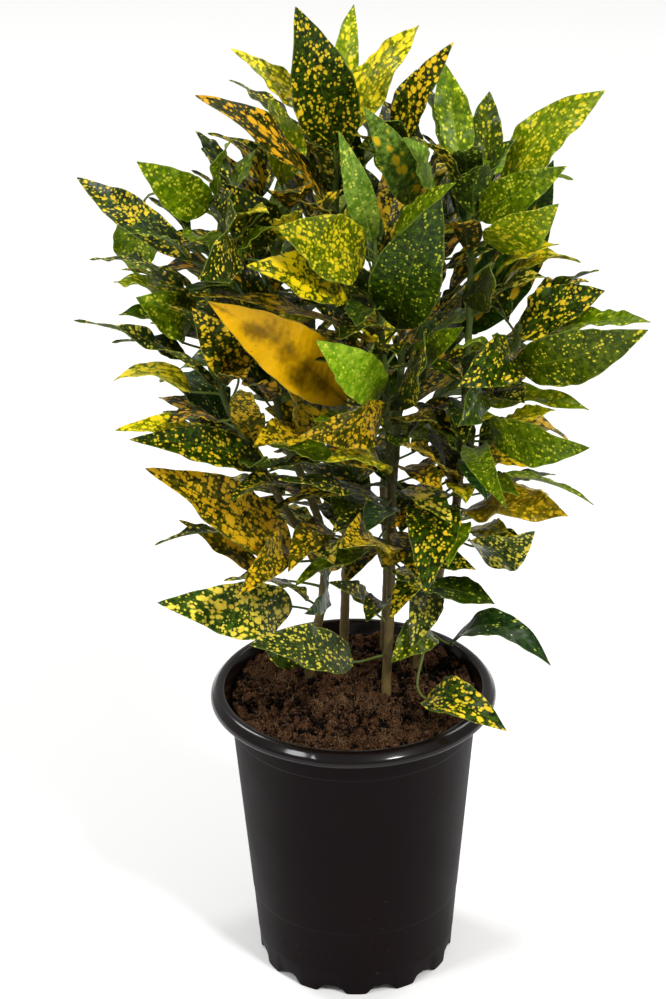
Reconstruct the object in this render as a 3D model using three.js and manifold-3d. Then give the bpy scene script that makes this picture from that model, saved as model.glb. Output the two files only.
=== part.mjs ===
// A potted croton: a nursery pot filled with peat, and five leafy stems standing in it.
// Millimetres, +Z up. The origin is on the pot's axis, at the level that its feet stand on.
// The front of the plant looks along -Y.

import * as THREE from 'three';
import { mergeVertices } from 'three/addons/utils/BufferGeometryUtils.js';
import Module from 'manifold-3d';

const wasm = await Module();
wasm.setup();

// Driving dimensions of the pot
const potHeight = 205;
const rimRadius = 95;
const lipHeight = 9;
const lipReach = 10;
const lipInset = 1.5;
const lipEdge = 2;
const lipRound = 4;
const lipMouth = 2.5;
const wall = 1.8;
const footRadius = 64;
const footHeight = 6;
const footWidth = 9;
const chamferTop = 17;
const chamferRadius = 68;
const shoulderDrop = 26;
const ringStep = 0.9;
const floorThickness = 2;
const footCount = 12;
const notchWidth = 15;
const notchHeight = 5.5;
const notchBearing = 15;
const drainCount = 6;
const drainRadius = 5;
const drainCircle = 42;
const potSides = 32;

// Driving dimensions of the peat
const soilDrop = 9;
const soilLump = 3.2;
const soilSides = 24;
const soilSkirt = 25;
const soilFoot = 2.5;
const gap = 0.4;

// Driving dimensions of the stems and leaves
const caneSides = 6;
const caneFoot = 45;
const caneRadius = 3.4;
const tipRadius = 1.6;
const branchRadius = 2.5;
const petioleHalf = 1.1;
const seatBehindFoot = 18;
const bladeHalf = 0.45;
const frontStations = [0.13, 0.36, 0.6, 0.82];
const ruleStations = [0.18, 0.48, 0.8];
const shortStations = [0.27, 0.68];
const shortLength = 70;
const bladeSpread = 1.15;
const leafRatio = 0.33;

// Leaves placed by rule: their petiole, their rise above the level, and how they lean to the front
const stalkLength = 14;
const stalkShare = 0.08;
const lowRise = 8;
const highRise = 48;
const riseStart = 380;
const riseEnd = 550;
const riseSpread = 8;
const ruleLean = 20;
const goldenTurn = 0.618;
const shortestReach = 50;
const reachStep = 5;

// Clearances that a leaf keeps to the leaves of the other stems, to those of its own, to the other
// stems' canes, and to the pot
const clearOfOthers = 7.5;
const clearOfOwn = 5;
const clearOfCane = 5;
const clearOfPot = 4;
const sampleStep = 4;

// The rounded crown that the leaves placed by rule stay inside
const crownHalfWidth = 132;
const crownHalfDepth = 142;
const crownHalfHeight = 215;
const crownMiddle = 420;

const vec = (x, y, z) => new THREE.Vector3(x, y, z);
const toRadians = (degrees) => (degrees * Math.PI) / 180;

let seed = 20731;
function draw(low, high) {
  seed = (seed * 16807) % 2147483647;
  return low + ((high - low) * seed) / 2147483647;
}

// Each stem: its main cane and its side branches, as points from the peat to the growing tip
const stemPlans = {
  middle: [
    [[22, 0, 190], [25, 0, 267], [26, 5, 338], [24, 5, 395], [21, 0, 446], [17, -5, 492], [16, -5, 522]],
    [[26, 5, 338], [31, 20, 388], [34, 35, 444], [37, 42, 503], [36, 42, 554]],
  ],
  left: [
    [[-29, 23, 190], [-20, 20, 257], [-18, 15, 301], [-28, 8, 344], [-42, 5, 382], [-47, 8, 412],
      [-50, 12, 455], [-46, 16, 498], [-37, 18, 537]],
    [[-19, 17, 285], [-40, 2, 329], [-60, -10, 376], [-78, -16, 418], [-86, -16, 457], [-85, -12, 496],
      [-77, -8, 541]],
  ],
  right: [
    [[44, 36, 190], [54, 30, 251], [63, 25, 298], [69, 20, 330], [72, 12, 384], [74, 5, 429],
      [76, 5, 477], [76, 8, 516], [74, 10, 548]],
    [[72, 12, 384], [85, -5, 420], [97, -15, 443], [104, -20, 457], [106, -22, 471]],
  ],
  back_left: [
    [[-6, 55, 190], [-4, 57, 267], [-4, 57, 349], [-5, 52, 431], [-7, 48, 501], [-8, 45, 556]],
    [[-4, 57, 327], [-20, 64, 368], [-39, 68, 421], [-53, 66, 471], [-58, 62, 511]],
  ],
  back_right: [
    [[22, 62, 190], [24, 62, 267], [22, 66, 320], [32, 68, 370], [44, 68, 420], [52, 66, 470],
      [57, 63, 519]],
  ],
};

// The leaves that show from the front.
// Each row: foot of the blade, tip, width, lean of its face towards the front in degrees, arch, wave
const frontLeaves = {
  middle: [
    [[30, 45, 560], [65, 20, 640], 18, 40, 6, 1.5],
    [[40, 30, 530], [10, -25, 615], 20, 60, 5, 1.5],
    [[52, 32, 531], [34, -10, 588], 22, 60, 4, 2],
    [[15, -5, 520], [-5, -40, 605], 16, 60, 5, 1],
    [[15, -10, 455], [-95, -50, 505], 22, 0, 8, 2],
    [[0, -15, 490], [-60, -90, 540], 28, 50, 8, 2.5],
    [[10, -15, 515], [-42, -70, 553], 36, 60, 6, 3],
    [[25, -5, 515], [65, -35, 570], 15, 30, 5, 1],
    [[20, -10, 420], [-20, -75, 485], 26, 60, 6, 1.5],
    [[30, -10, 465], [55, -75, 575], 38, 65, 6, 2],
    [[25, -10, 410], [45, -65, 485], 28, 60, 6, 2],
    [[40, 0, 420], [70, -45, 480], 18, 40, 5, 2],
    [[-3, -10, 415], [-85, -60, 505], 34, 60, 8, 2],
    [[20, -10, 405], [-30, -85, 425], 26, 55, 12, 3],
    [[20, -5, 365], [-15, -85, 410], 24, 40, 10, 2],
    [[20, 0, 340], [-45, -70, 390], 16, 20, 6, 1.5],
    [[20, -5, 295], [-8, -105, 360], 30, 40, 14, 3],
    [[15, -5, 260], [-15, -55, 310], 14, 40, 6, 1],
    [[0, -25, 235], [-65, -90, 285], 28, 45, 10, 2],
    [[20, 20, 470], [-40, -5, 515], 26, 40, 6, 2],
  ],
  left: [
    [[-72, 0, 560], [-94, 35, 580], 9, 20, 4, 1],
    [[-80, -5, 551], [-69, -30, 597], 10, 0, 4, 1.5],
    [[-86, -10, 545], [-125, -50, 591], 24, 65, 7, 2],
    [[-97, 0, 507], [-174, 85, 532], 20, 45, 6, 2],
    [[-130, 50, 525], [-136, 30, 491], 26, 60, 6, 2],
    [[-82, -15, 553], [-87, -110, 537], 38, 70, 12, 3],
    [[-95, -5, 490], [-157, -40, 525], 14, 0, 8, 3],
    [[-98, -10, 472], [-129, -50, 504], 27, 60, 6, 2],
    [[-70, -15, 435], [-95, -75, 510], 24, 60, 6, 2],
    [[-80, -15, 425], [-165, -75, 500], 13, 10, 8, 4],
    [[-40, 15, 255], [-123, -65, 302], 33, 60, 12, 3],
    [[-35, 12, 212], [-60, -15, 255], 20, 50, 5, 2],
    [[-40, 5, 295], [-128, -50, 389], 34, 45, 10, 3],
    [[-45, 0, 310], [-70, -75, 310], 20, 50, 12, 3],
    [[-55, 10, 305], [-125, -40, 330], 16, -10, 8, 2],
    [[-60, 15, 280], [-112, 5, 325], 14, 30, 5, 1.5],
    [[-15, 10, 315], [-40, -60, 320], 20, 50, 10, 2],
    [[-30, 15, 260], [-80, -45, 305], 20, 20, 8, 2],
    [[-20, 20, 280], [-30, -40, 278], 16, 50, 8, 1],
    [[-75, -10, 385], [-145, -60, 420], 18, 20, 8, 2],
    [[-55, -10, 370], [-135, -65, 415], 22, 30, 8, 2],
    [[-30, 0, 385], [-60, -65, 410], 20, 40, 8, 2],
    [[-60, -15, 385], [-65, -75, 450], 18, 50, 6, 2],
    [[-40, 0, 385], [-40, -45, 445], 18, 50, 5, 2],
    [[-48, 12, 515], [-75, -22, 568], 30, 60, 6, 2],
  ],
  right: [
    [[70, 15, 555], [60, 60, 615], 21, 30, 6, 1.5],
    [[85, 30, 540], [90, 75, 590], 20, 30, 6, 1.5],
    [[95, 10, 550], [155, -15, 620], 28, 40, 7, 2],
    [[85, 15, 556], [125, 90, 549], 32, 20, 8, 2.5],
    [[80, 0, 535], [130, -50, 585], 22, 60, 6, 1.5],
    [[85, -5, 520], [125, -60, 565], 26, 70, 6, 2],
    [[105, -20, 465], [155, -50, 505], 28, 40, 6, 2],
    [[120, -20, 465], [179, -90, 501], 18, 30, 6, 1.5],
    [[103, -30, 447], [177, -80, 489], 30, 55, 8, 2],
    [[80, 0, 405], [147, -55, 428], 16, 30, 9, 3],
    [[88, -10, 398], [145, -80, 413], 27, 65, 8, 2],
    [[80, -10, 380], [92, -141, 404], 16, 60, 14, 2],
    [[80, 0, 370], [120, -60, 395], 20, 20, 6, 2],
    [[75, 5, 330], [135, -65, 360], 28, 30, 10, 5],
    [[80, 10, 350], [155, -20, 345], 14, 0, 8, 1],
    [[80, 0, 306], [114, -70, 352], 28, 60, 8, 2],
    [[65, 0, 325], [60, -60, 322], 18, 60, 8, 2.5],
    [[50, -5, 345], [45, -100, 325], 30, 70, 14, 2.5],
    [[50, 30, 262], [38, -25, 245], 20, 70, 8, 1],
    [[50, 20, 235], [25, -35, 240], 22, 60, 8, 2],
    [[65, 15, 225], [130, -15, 225], 20, 20, 26, 1.5],
    [[48, -28, 208], [98, -80, 214], 24, 40, 16, 1.5],
    [[65, 10, 345], [30, -60, 405], 20, 40, 6, 2],
    [[70, -5, 440], [65, -75, 425], 32, 60, 12, 4],
    [[100, -30, 455], [65, -80, 455], 28, 50, 10, 2],
    [[72, 5, 478], [85, -55, 525], 24, 50, 6, 2],
    [[62, 10, 355], [45, -30, 405], 22, 50, 6, 2],
    [[57, 28, 300], [58, -25, 350], 20, 50, 6, 2],
  ],
  back_left: [
    [[-5, 45, 562], [-30, 5, 668], 36, 60, 6, 2],
    [[0, 60, 585], [5, 100, 640], 14, 30, 6, 1.5],
    [[0, 40, 575], [45, 20, 660], 24, 50, 8, 3],
    [[-10, 40, 570], [-70, -10, 656], 19, 45, 8, 1.5],
    [[-30, 60, 560], [-75, 95, 595], 20, -20, 6, 1.5],
    [[-10, 30, 530], [-90, -30, 625], 28, 45, 8, 2],
    [[-10, 60, 530], [-60, 100, 570], 22, 20, 8, 2],
    [[-15, 40, 370], [-55, -10, 415], 26, 50, 8, 2],
    [[-3, 50, 270], [-35, 0, 325], 24, 50, 8, 2],
  ],
  back_right: [
    [[75, 50, 435], [128, 30, 560], 34, 70, 8, 2],
    [[55, 70, 400], [75, 143, 425], 28, 0, 10, 2],
  ],
};

// Leaves that fill the back, the sides and the growing tips.
// Each row: branch, lowest and highest foot, count, first and last bearing in degrees, length
const ruleLeaves = {
  middle: [
    [1, 420, 540, 5, 20, 130, 95],
    [1, 548, 552, 2, 60, 240, 60],
    [0, 290, 510, 7, 40, 140, 85],
    [0, 350, 505, 5, 190, 350, 62],
    [1, 440, 545, 3, 180, 330, 62],
  ],
  left: [
    [0, 330, 525, 11, 95, 215, 100],
    [1, 380, 520, 5, 110, 190, 95],
    [0, 530, 535, 3, 20, 300, 65],
    [0, 390, 525, 4, 230, 350, 62],
    [1, 440, 535, 3, 200, 330, 60],
  ],
  right: [
    [0, 300, 535, 11, -20, 100, 95],
    [0, 540, 546, 2, 120, 250, 65],
    [1, 455, 468, 2, -60, 30, 80],
    [0, 320, 540, 6, 200, 340, 62],
  ],
  back_left: [
    [0, 260, 545, 18, 50, 170, 105],
    [1, 370, 500, 8, 90, 200, 100],
    [1, 505, 510, 3, 20, 250, 65],
  ],
  back_right: [
    [0, 255, 508, 18, -20, 130, 105],
    [0, 510, 517, 3, 10, 280, 65],
  ],
};

// The point at a height on a branch, which rises all the way
function pointAtHeight(branch, height) {
  for (let i = 1; i < branch.length; i += 1) {
    const [low, high] = [branch[i - 1], branch[i]];
    if (height <= high.z || i === branch.length - 1) {
      return low.clone().lerp(high, (height - low.z) / (high.z - low.z));
    }
  }
  return branch[branch.length - 1].clone();
}

// The nearest point to a place on any branch of a stem
function nearestOnStem(branches, place) {
  let best = null;
  let bestDistance = Infinity;
  for (const branch of branches) {
    for (let i = 1; i < branch.length; i += 1) {
      const line = new THREE.Line3(branch[i - 1], branch[i]);
      const point = line.closestPointToPoint(place, true, vec(0, 0, 0));
      const distance = point.distanceTo(place);
      if (distance < bestDistance) {
        best = point;
        bestDistance = distance;
      }
    }
  }
  return best;
}

const radiusAlong = (start, end, share) => start + (end - start) * share;

// Points spaced along a branch, with the cane's radius at each
function caneSamples(branch, start) {
  const samples = [];
  for (let i = 1; i < branch.length; i += 1) {
    const count = Math.ceil(branch[i].distanceTo(branch[i - 1]) / sampleStep);
    for (let j = 0; j < count; j += 1) {
      const share = (i - 1 + j / count) / (branch.length - 1);
      samples.push({
        place: branch[i - 1].clone().lerp(branch[i], j / count),
        radius: radiusAlong(start, tipRadius, share),
      });
    }
  }
  return samples;
}

// A section of a leaf: left edge, middle and right edge on its middle surface, and its normal
function section(centre, side, normal, halfWidth, lift, wave) {
  return {
    left: centre.clone().addScaledVector(side, halfWidth).addScaledVector(normal, lift + wave),
    mid: centre.clone(),
    right: centre.clone().addScaledVector(side, -halfWidth).addScaledVector(normal, lift - wave),
    normal,
  };
}

const outline = (share) => Math.sin(Math.PI * share ** 0.8) ** 0.9;

// The sections of a leaf, from its seat in the cane along the petiole and the blade to the tip
function leafSections(leaf, branches) {
  const { foot, tip, width, lean, arch, wave, twist, fold, stations } = leaf;
  const axis = tip.clone().sub(foot).normalize();
  const length = tip.distanceTo(foot);
  const hint = vec(0, -Math.sin(toRadians(lean)), Math.cos(toRadians(lean)));
  let side = axis.clone().cross(hint);
  if (side.length() < 0.2) {
    side = axis.clone().cross(vec(1, 0, 0));
  }
  side.normalize();
  const up = side.clone().cross(axis);

  const seat = nearestOnStem(branches, foot.clone().addScaledVector(axis, -seatBehindFoot));
  const stalk = foot.clone().sub(seat).normalize();
  let stalkSide = side.clone().addScaledVector(stalk, -side.dot(stalk));
  if (stalkSide.length() < 0.3) {
    stalkSide = stalk.clone().cross(up);
  }
  stalkSide.normalize();
  const stalkUp = stalkSide.clone().cross(stalk);
  const sections = [
    section(seat, stalkSide, stalkUp, petioleHalf, 0, 0),
    section(foot, side, up, petioleHalf, 0, 0),
  ];
  stations.forEach((share, i) => {
    const centre = foot.clone().addScaledVector(axis, length * share);
    centre.addScaledVector(up, arch * 4 * share * (1 - share));
    const slope = (arch * 4 * (1 - 2 * share)) / length;
    const normal = up.clone().addScaledVector(axis, -slope).normalize();
    const turn = toRadians(twist * (share - 0.3));
    const [cosine, sine] = [Math.cos(turn), Math.sin(turn)];
    const turnedSide = side.clone().multiplyScalar(cosine).addScaledVector(normal, sine);
    const turnedNormal = normal.clone().multiplyScalar(cosine).addScaledVector(side, -sine);
    const half = (width / 2) * outline(share);
    sections.push(section(centre, turnedSide, turnedNormal, half, fold * half, i % 2 ? -wave : wave));
  });
  return { sections, tip, up, seat, foot };
}

// Points spread over a leaf: down its petiole and over its blade
function leafSamples({ sections, tip, seat, foot }) {
  const points = [];
  const stalkCount = Math.ceil(seat.distanceTo(foot) / sampleStep);
  for (let i = 1; i < stalkCount; i += 1) {
    points.push(seat.clone().lerp(foot, i / stalkCount));
  }
  const rows = sections.slice(1);
  rows.push({ left: tip, mid: tip, right: tip });
  for (let i = 0; i < rows.length - 1; i += 1) {
    for (let j = 0; j < 4; j += 1) {
      const left = rows[i].left.clone().lerp(rows[i + 1].left, j / 4);
      const mid = rows[i].mid.clone().lerp(rows[i + 1].mid, j / 4);
      const right = rows[i].right.clone().lerp(rows[i + 1].right, j / 4);
      for (let k = 0; k <= 3; k += 1) {
        points.push(left.clone().lerp(mid, k / 3));
      }
      for (let k = 1; k <= 3; k += 1) {
        points.push(mid.clone().lerp(right, k / 3));
      }
    }
  }
  points.push(tip.clone());
  return points;
}

const soilTop = potHeight - soilDrop;

// Whether a point of a leaf comes too near the pot or the peat
function meetsPot(point) {
  const reach = Math.hypot(point.x, point.y);
  const overPeat = reach < rimRadius - lipReach - 2 * clearOfPot;
  if (overPeat) {
    return point.z < soilTop + soilLump + clearOfPot;
  }
  return reach < rimRadius + clearOfPot && point.z < potHeight + clearOfPot;
}

function touches(points, others, distance) {
  const limit = distance * distance;
  let count = 0;
  for (const point of points) {
    if (others.some((other) => point.distanceToSquared(other) < limit)) {
      count += 1;
    }
  }
  return count;
}

const grown = (points, margin) => new THREE.Box3().setFromPoints(points).expandByScalar(margin);

const placed = [];
const canes = {};

// How badly a leaf fits: not at all where it meets another stem or the pot, or else the number of its
// points that come near its own stem
function misfit(stem, points) {
  if (points.some(meetsPot)) {
    return Infinity;
  }
  const box = grown(points, clearOfOthers);
  for (const [name, samples] of Object.entries(canes)) {
    if (name !== stem) {
      const near = samples.filter(({ place }) => box.containsPoint(place));
      const hit = near.some(({ place, radius }) => touches(points, [place], radius + clearOfCane) > 0);
      if (hit) {
        return Infinity;
      }
    }
  }
  let own = 0;
  for (const other of placed) {
    if (box.intersectsBox(other.box)) {
      if (other.stem === stem) {
        own += touches(points, other.points, clearOfOwn);
      } else if (touches(points, other.points, clearOfOthers) > 0) {
        return Infinity;
      }
    }
  }
  return own;
}

// A leaf takes the first of its turned places that is clear of everything, or else the clearest one
function settle(stem, branches, choices) {
  let best = null;
  let least = Infinity;
  for (const choice of choices) {
    const shape = leafSections(choice, branches);
    const points = leafSamples(shape);
    const score = misfit(stem, points);
    if (score < least) {
      best = { shape, points };
      least = score;
    }
    if (least === 0) {
      break;
    }
  }
  if (best) {
    placed.push({ stem, box: new THREE.Box3().setFromPoints(best.points), ...best });
  }
}

const towardsViewer = vec(0, -0.87, 0.5);
const viewerSteps = [0, 10, -10, 20, -20, 30, -30, 40, -40];
const leanSteps = [0, 20, -20];

function placeFrontLeaf(stem, branches, [foot, tip, width, lean, arch, wave]) {
  const twist = draw(-25, 25);
  const fold = draw(0.05, 0.3);
  const choices = [];
  for (const step of viewerSteps) {
    for (const turn of leanSteps) {
      choices.push({
        foot: vec(...foot),
        tip: vec(...tip).addScaledVector(towardsViewer, step),
        width: width * bladeSpread,
        lean: lean + turn,
        arch,
        wave,
        twist,
        fold,
        stations: frontStations,
      });
    }
  }
  settle(stem, branches, choices);
}

function outsideCrown({ x, y, z }) {
  return Math.hypot(x / crownHalfWidth, y / crownHalfDepth, (z - crownMiddle) / crownHalfHeight) > 1;
}

const bearingSteps = [0, 12, -12, 24, -24, 36, -36];
const riseSteps = [0, 14, -14];

function placeRuleLeaf(stem, branches, branch, height, bearing, rise, length) {
  const twist = draw(-25, 25);
  const fold = draw(0.05, 0.3);
  const size = length * draw(0.85, 1.15);
  const width = size * leafRatio * draw(0.8, 1.2);
  const arch = size * draw(0.04, 0.12);
  const wave = draw(1, 3);
  const seat = pointAtHeight(branches[branch], height);
  const choices = [];
  for (const turn of bearingSteps) {
    for (const tilt of riseSteps) {
      const across = toRadians(bearing + turn);
      const upward = toRadians(rise + tilt);
      const way = vec(
        Math.cos(across) * Math.cos(upward),
        Math.sin(across) * Math.cos(upward),
        Math.sin(upward),
      );
      const foot = seat.clone().addScaledVector(way, stalkLength + length * stalkShare);
      let reach = size;
      let tip = foot.clone().addScaledVector(way, reach);
      while (reach > shortestReach && outsideCrown(tip)) {
        reach -= reachStep;
        tip = foot.clone().addScaledVector(way, reach);
      }
      const lean = -ruleLean * Math.sin(across);
      const stations = length < shortLength ? shortStations : ruleStations;
      choices.push({ foot, tip, width, lean, arch, wave, twist, fold, stations });
    }
  }
  settle(stem, branches, choices);
}

// The leaves by rule climb each branch, turning by the golden section within their bearings
function placeRuleLeaves(stem, branches) {
  for (const [branch, low, high, count, first, last, length] of ruleLeaves[stem]) {
    for (let i = 0; i < count; i += 1) {
      const share = (i + 0.5) / count;
      const height = low + (high - low) * share;
      const bearing = first + (last - first) * ((i * goldenTurn + 0.3) % 1);
      const climb = Math.max(0, (height - riseStart) / (riseEnd - riseStart));
      const rise = lowRise + (highRise - lowRise) * climb + draw(-riseSpread, riseSpread);
      placeRuleLeaf(stem, branches, branch, height, bearing, rise, length);
    }
  }
}

function solidFrom(positions, triangles) {
  return new wasm.Manifold(
    new wasm.Mesh({
      numProp: 3,
      vertProperties: new Float32Array(positions),
      triVerts: new Uint32Array(triangles),
    }),
  );
}

// A leaf as one closed solid. The petiole has three sides. The blade has an upper and a lower face,
// which are split into triangles alike, and the edge between them.
function leafSolid({ sections, tip, up }) {
  const positions = [];
  const triangles = [];
  const add = (point, normal, offset) => {
    const place = point.clone().addScaledVector(normal, offset);
    positions.push(place.x, place.y, place.z);
    return positions.length / 3 - 1;
  };
  const triangle = (a, b, c) => triangles.push(a, b, c);
  const quad = (a, b, c, d) => triangles.push(a, b, c, a, c, d);
  const [seatRing, footRing] = sections.slice(0, 2).map(({ left, mid, right, normal }) => [
    add(left, normal, petioleHalf / 2),
    add(mid, normal, -petioleHalf),
    add(right, normal, petioleHalf / 2),
  ]);
  const rows = sections.slice(2).map(({ left, mid, right, normal }, i) => {
    const middle = bladeHalf * (i === 0 ? 2 : 1.3);
    return {
      top: [add(left, normal, bladeHalf), add(mid, normal, middle), add(right, normal, bladeHalf)],
      low: [add(left, normal, -bladeHalf), add(mid, normal, -middle), add(right, normal, -bladeHalf)],
    };
  });
  const [left, low, right] = footRing;
  triangle(seatRing[0], seatRing[2], seatRing[1]);
  quad(seatRing[0], left, right, seatRing[2]);
  quad(seatRing[0], seatRing[1], low, left);
  quad(seatRing[2], right, low, seatRing[1]);
  const first = rows[0];
  triangle(left, first.top[0], first.top[1]);
  triangle(left, first.top[1], right);
  triangle(right, first.top[1], first.top[2]);
  quad(left, low, first.low[1], first.low[0]);
  quad(right, first.low[2], first.low[1], low);
  triangle(left, first.low[0], first.top[0]);
  triangle(right, first.top[2], first.low[2]);
  for (let i = 0; i < rows.length - 1; i += 1) {
    const [near, far] = [rows[i], rows[i + 1]];
    for (const k of [0, 1]) {
      quad(near.top[k], far.top[k], far.top[k + 1], near.top[k + 1]);
      quad(near.low[k], near.low[k + 1], far.low[k + 1], far.low[k]);
    }
    quad(near.top[0], near.low[0], far.low[0], far.top[0]);
    quad(near.top[2], far.top[2], far.low[2], near.low[2]);
  }
  const last = rows[rows.length - 1];
  const topTip = add(tip, up, bladeHalf);
  const lowTip = add(tip, up, -bladeHalf);
  for (const k of [0, 1]) {
    triangle(last.top[k], topTip, last.top[k + 1]);
    triangle(last.low[k], last.low[k + 1], lowTip);
  }
  quad(last.top[0], last.low[0], lowTip, topTip);
  quad(last.top[2], topTip, lowTip, last.low[2]);
  return solidFrom(positions, triangles);
}

// A tapering cane along its points, with flat ends
function caneSolid(branch, start) {
  const positions = [];
  const triangles = [];
  branch.forEach((point, i) => {
    const before = branch[Math.max(i - 1, 0)];
    const after = branch[Math.min(i + 1, branch.length - 1)];
    const way = after.clone().sub(before).normalize();
    const across = vec(1, 0, 0).addScaledVector(way, -way.x).normalize();
    const along = way.clone().cross(across);
    const radius = radiusAlong(start, tipRadius, i / (branch.length - 1));
    for (let k = 0; k < caneSides; k += 1) {
      const angle = (2 * Math.PI * k) / caneSides;
      const place = point.clone().addScaledVector(across, radius * Math.cos(angle));
      place.addScaledVector(along, radius * Math.sin(angle));
      positions.push(place.x, place.y, place.z);
    }
  });
  for (let i = 0; i < branch.length - 1; i += 1) {
    for (let k = 0; k < caneSides; k += 1) {
      const a = i * caneSides + k;
      const b = i * caneSides + ((k + 1) % caneSides);
      triangles.push(a, b, b + caneSides, a, b + caneSides, a + caneSides);
    }
  }
  const end = (branch.length - 1) * caneSides;
  for (let k = 1; k < caneSides - 1; k += 1) {
    triangles.push(0, k + 1, k, end, end + k, end + k + 1);
  }
  return solidFrom(positions, triangles);
}

function toGeometry(solid) {
  const { vertProperties, triVerts, numProp } = solid.getMesh();
  const positions = new Float32Array((vertProperties.length / numProp) * 3);
  for (let i = 0; i < positions.length / 3; i += 1) {
    positions.set(vertProperties.subarray(i * numProp, i * numProp + 3), i * 3);
  }
  const geometry = new THREE.BufferGeometry();
  geometry.setAttribute('position', new THREE.BufferAttribute(positions, 3));
  geometry.setIndex(new THREE.BufferAttribute(new Uint32Array(triVerts), 1));
  geometry.computeVertexNormals();
  return geometry;
}

function fromGeometry(geometry) {
  const bare = geometry.clone();
  bare.deleteAttribute('normal');
  bare.deleteAttribute('uv');
  const merged = mergeVertices(bare, 0.001);
  return solidFrom(merged.attributes.position.array, merged.index.array);
}

function rotatedAboutAxis(solid, count, phase) {
  const copies = [];
  for (let i = 0; i < count; i += 1) {
    copies.push(solid.rotate([0, 0, phase + (360 * i) / count]));
  }
  return wasm.Manifold.union(copies);
}

function bodyRadius(height) {
  const shoulder = potHeight - shoulderDrop;
  const lipBottom = potHeight - lipHeight;
  const widest = rimRadius - lipReach - lipInset;
  const share = (height - chamferTop) / (lipBottom - chamferTop);
  return chamferRadius + (widest - chamferRadius) * share - (height < shoulder ? ringStep : 0);
}

function innerRadius(height) {
  return bodyRadius(height) - wall;
}

// The pot: one moulded shell, with its rolled lip, its shoulder, its notched foot and its drain holes
function makePot() {
  const shoulder = potHeight - shoulderDrop;
  const lipBottom = potHeight - lipHeight;
  const floorTop = footHeight + floorThickness;
  const outer = [
    [0, footHeight],
    [footRadius - footWidth, footHeight],
    [footRadius - footWidth + 1, 0],
    [footRadius, 0],
    [chamferRadius - ringStep, chamferTop],
    [bodyRadius(shoulder - 1), shoulder - 1],
    [bodyRadius(shoulder), shoulder],
    [bodyRadius(lipBottom), lipBottom],
    [rimRadius - lipEdge, lipBottom],
    [rimRadius, lipBottom + lipEdge],
    [rimRadius - 0.5, potHeight - lipRound],
    [rimRadius - lipRound, potHeight - 0.5],
    [rimRadius - lipReach + lipEdge, potHeight],
    [innerRadius(lipBottom) + lipMouth, potHeight - lipRound],
    [innerRadius(lipBottom), lipBottom],
    [innerRadius(chamferTop), chamferTop],
    [footRadius - 2, floorTop],
    [0, floorTop],
  ];
  const profile = outer.map(([radius, height]) => new THREE.Vector2(radius, height));
  const turned = new THREE.LatheGeometry(profile, potSides);
  turned.rotateX(Math.PI / 2);
  const notch = new THREE.BoxGeometry(3 * footWidth, notchWidth, 2 * notchHeight);
  notch.translate(footRadius, 0, 0);
  const drain = new THREE.CylinderGeometry(drainRadius, drainRadius, 4 * floorThickness, 10);
  drain.rotateX(Math.PI / 2);
  drain.translate(drainCircle, 0, footHeight);
  return fromGeometry(turned)
    .subtract(rotatedAboutAxis(fromGeometry(notch), footCount, notchBearing))
    .subtract(rotatedAboutAxis(fromGeometry(drain), drainCount, 0));
}

// The lumpy top of the peat
function peatHeight(x, y) {
  const swell = Math.sin(x * 0.11 + 1.3) * Math.cos(y * 0.13 - 0.4);
  const lumps = Math.sin(x * 0.31 + y * 0.17) * Math.cos(y * 0.29 - x * 0.12 + 2);
  return soilTop + soilLump * (0.45 * swell + 0.45 * lumps);
}

// The peat: it fills the pot to below the rim, with a plain hole for each cane
function makePeat() {
  const floor = footHeight + floorThickness + gap;
  const rings = [0.3, 0.6, 0.85, 1];
  const positions = [0, 0, floor, 0, 0, peatHeight(0, 0)];
  const triangles = [];
  const ringStart = [];
  const topRadius = innerRadius(soilTop + soilLump) - gap - 0.6;
  const addRing = (radius, height) => {
    ringStart.push(positions.length / 3);
    for (let k = 0; k < soilSides; k += 1) {
      const angle = (2 * Math.PI * k) / soilSides;
      const x = radius * Math.cos(angle);
      const y = radius * Math.sin(angle);
      positions.push(x, y, height === null ? peatHeight(x, y) : height);
    }
  };
  addRing(footRadius - soilFoot, floor);
  addRing(innerRadius(chamferTop) - gap - 0.3, chamferTop + gap);
  addRing(innerRadius(soilTop - soilSkirt) - gap - 0.3, soilTop - soilSkirt);
  [...rings].reverse().forEach((share) => addRing(topRadius * share, null));
  const last = ringStart.length - 1;
  for (let k = 0; k < soilSides; k += 1) {
    const next = (k + 1) % soilSides;
    triangles.push(0, ringStart[0] + next, ringStart[0] + k);
    triangles.push(1, ringStart[last] + k, ringStart[last] + next);
    for (let i = 0; i < last; i += 1) {
      const [a, b] = [ringStart[i], ringStart[i + 1]];
      triangles.push(a + k, a + next, b + next, a + k, b + next, b + k);
    }
  }
  let peat = solidFrom(positions, triangles);
  for (const [[x, y]] of Object.values(stemPlans).map((plan) => plan[0])) {
    const hole = new THREE.CylinderGeometry(caneRadius + 1, caneRadius + 1, 2 * caneFoot, 12);
    hole.rotateX(Math.PI / 2);
    hole.translate(x, y, soilTop);
    peat = peat.subtract(fromGeometry(hole));
  }
  return peat;
}

// A stem: its cane, straight where it stands in the peat, its branches and its leaves, all one body
function makeStem(stem, branches) {
  const [main, ...sides] = branches;
  const foot = main[0].clone().setZ(soilTop - caneFoot + gap);
  const rise = main[0].clone().setZ(soilTop + 2 * soilLump);
  const parts = [caneSolid([foot, rise, ...main.slice(1)], caneRadius)];
  for (const side of sides) {
    parts.push(caneSolid(side, branchRadius));
  }
  for (const leaf of placed.filter((item) => item.stem === stem)) {
    parts.push(leafSolid(leaf.shape));
  }
  return wasm.Manifold.union(parts);
}

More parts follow.
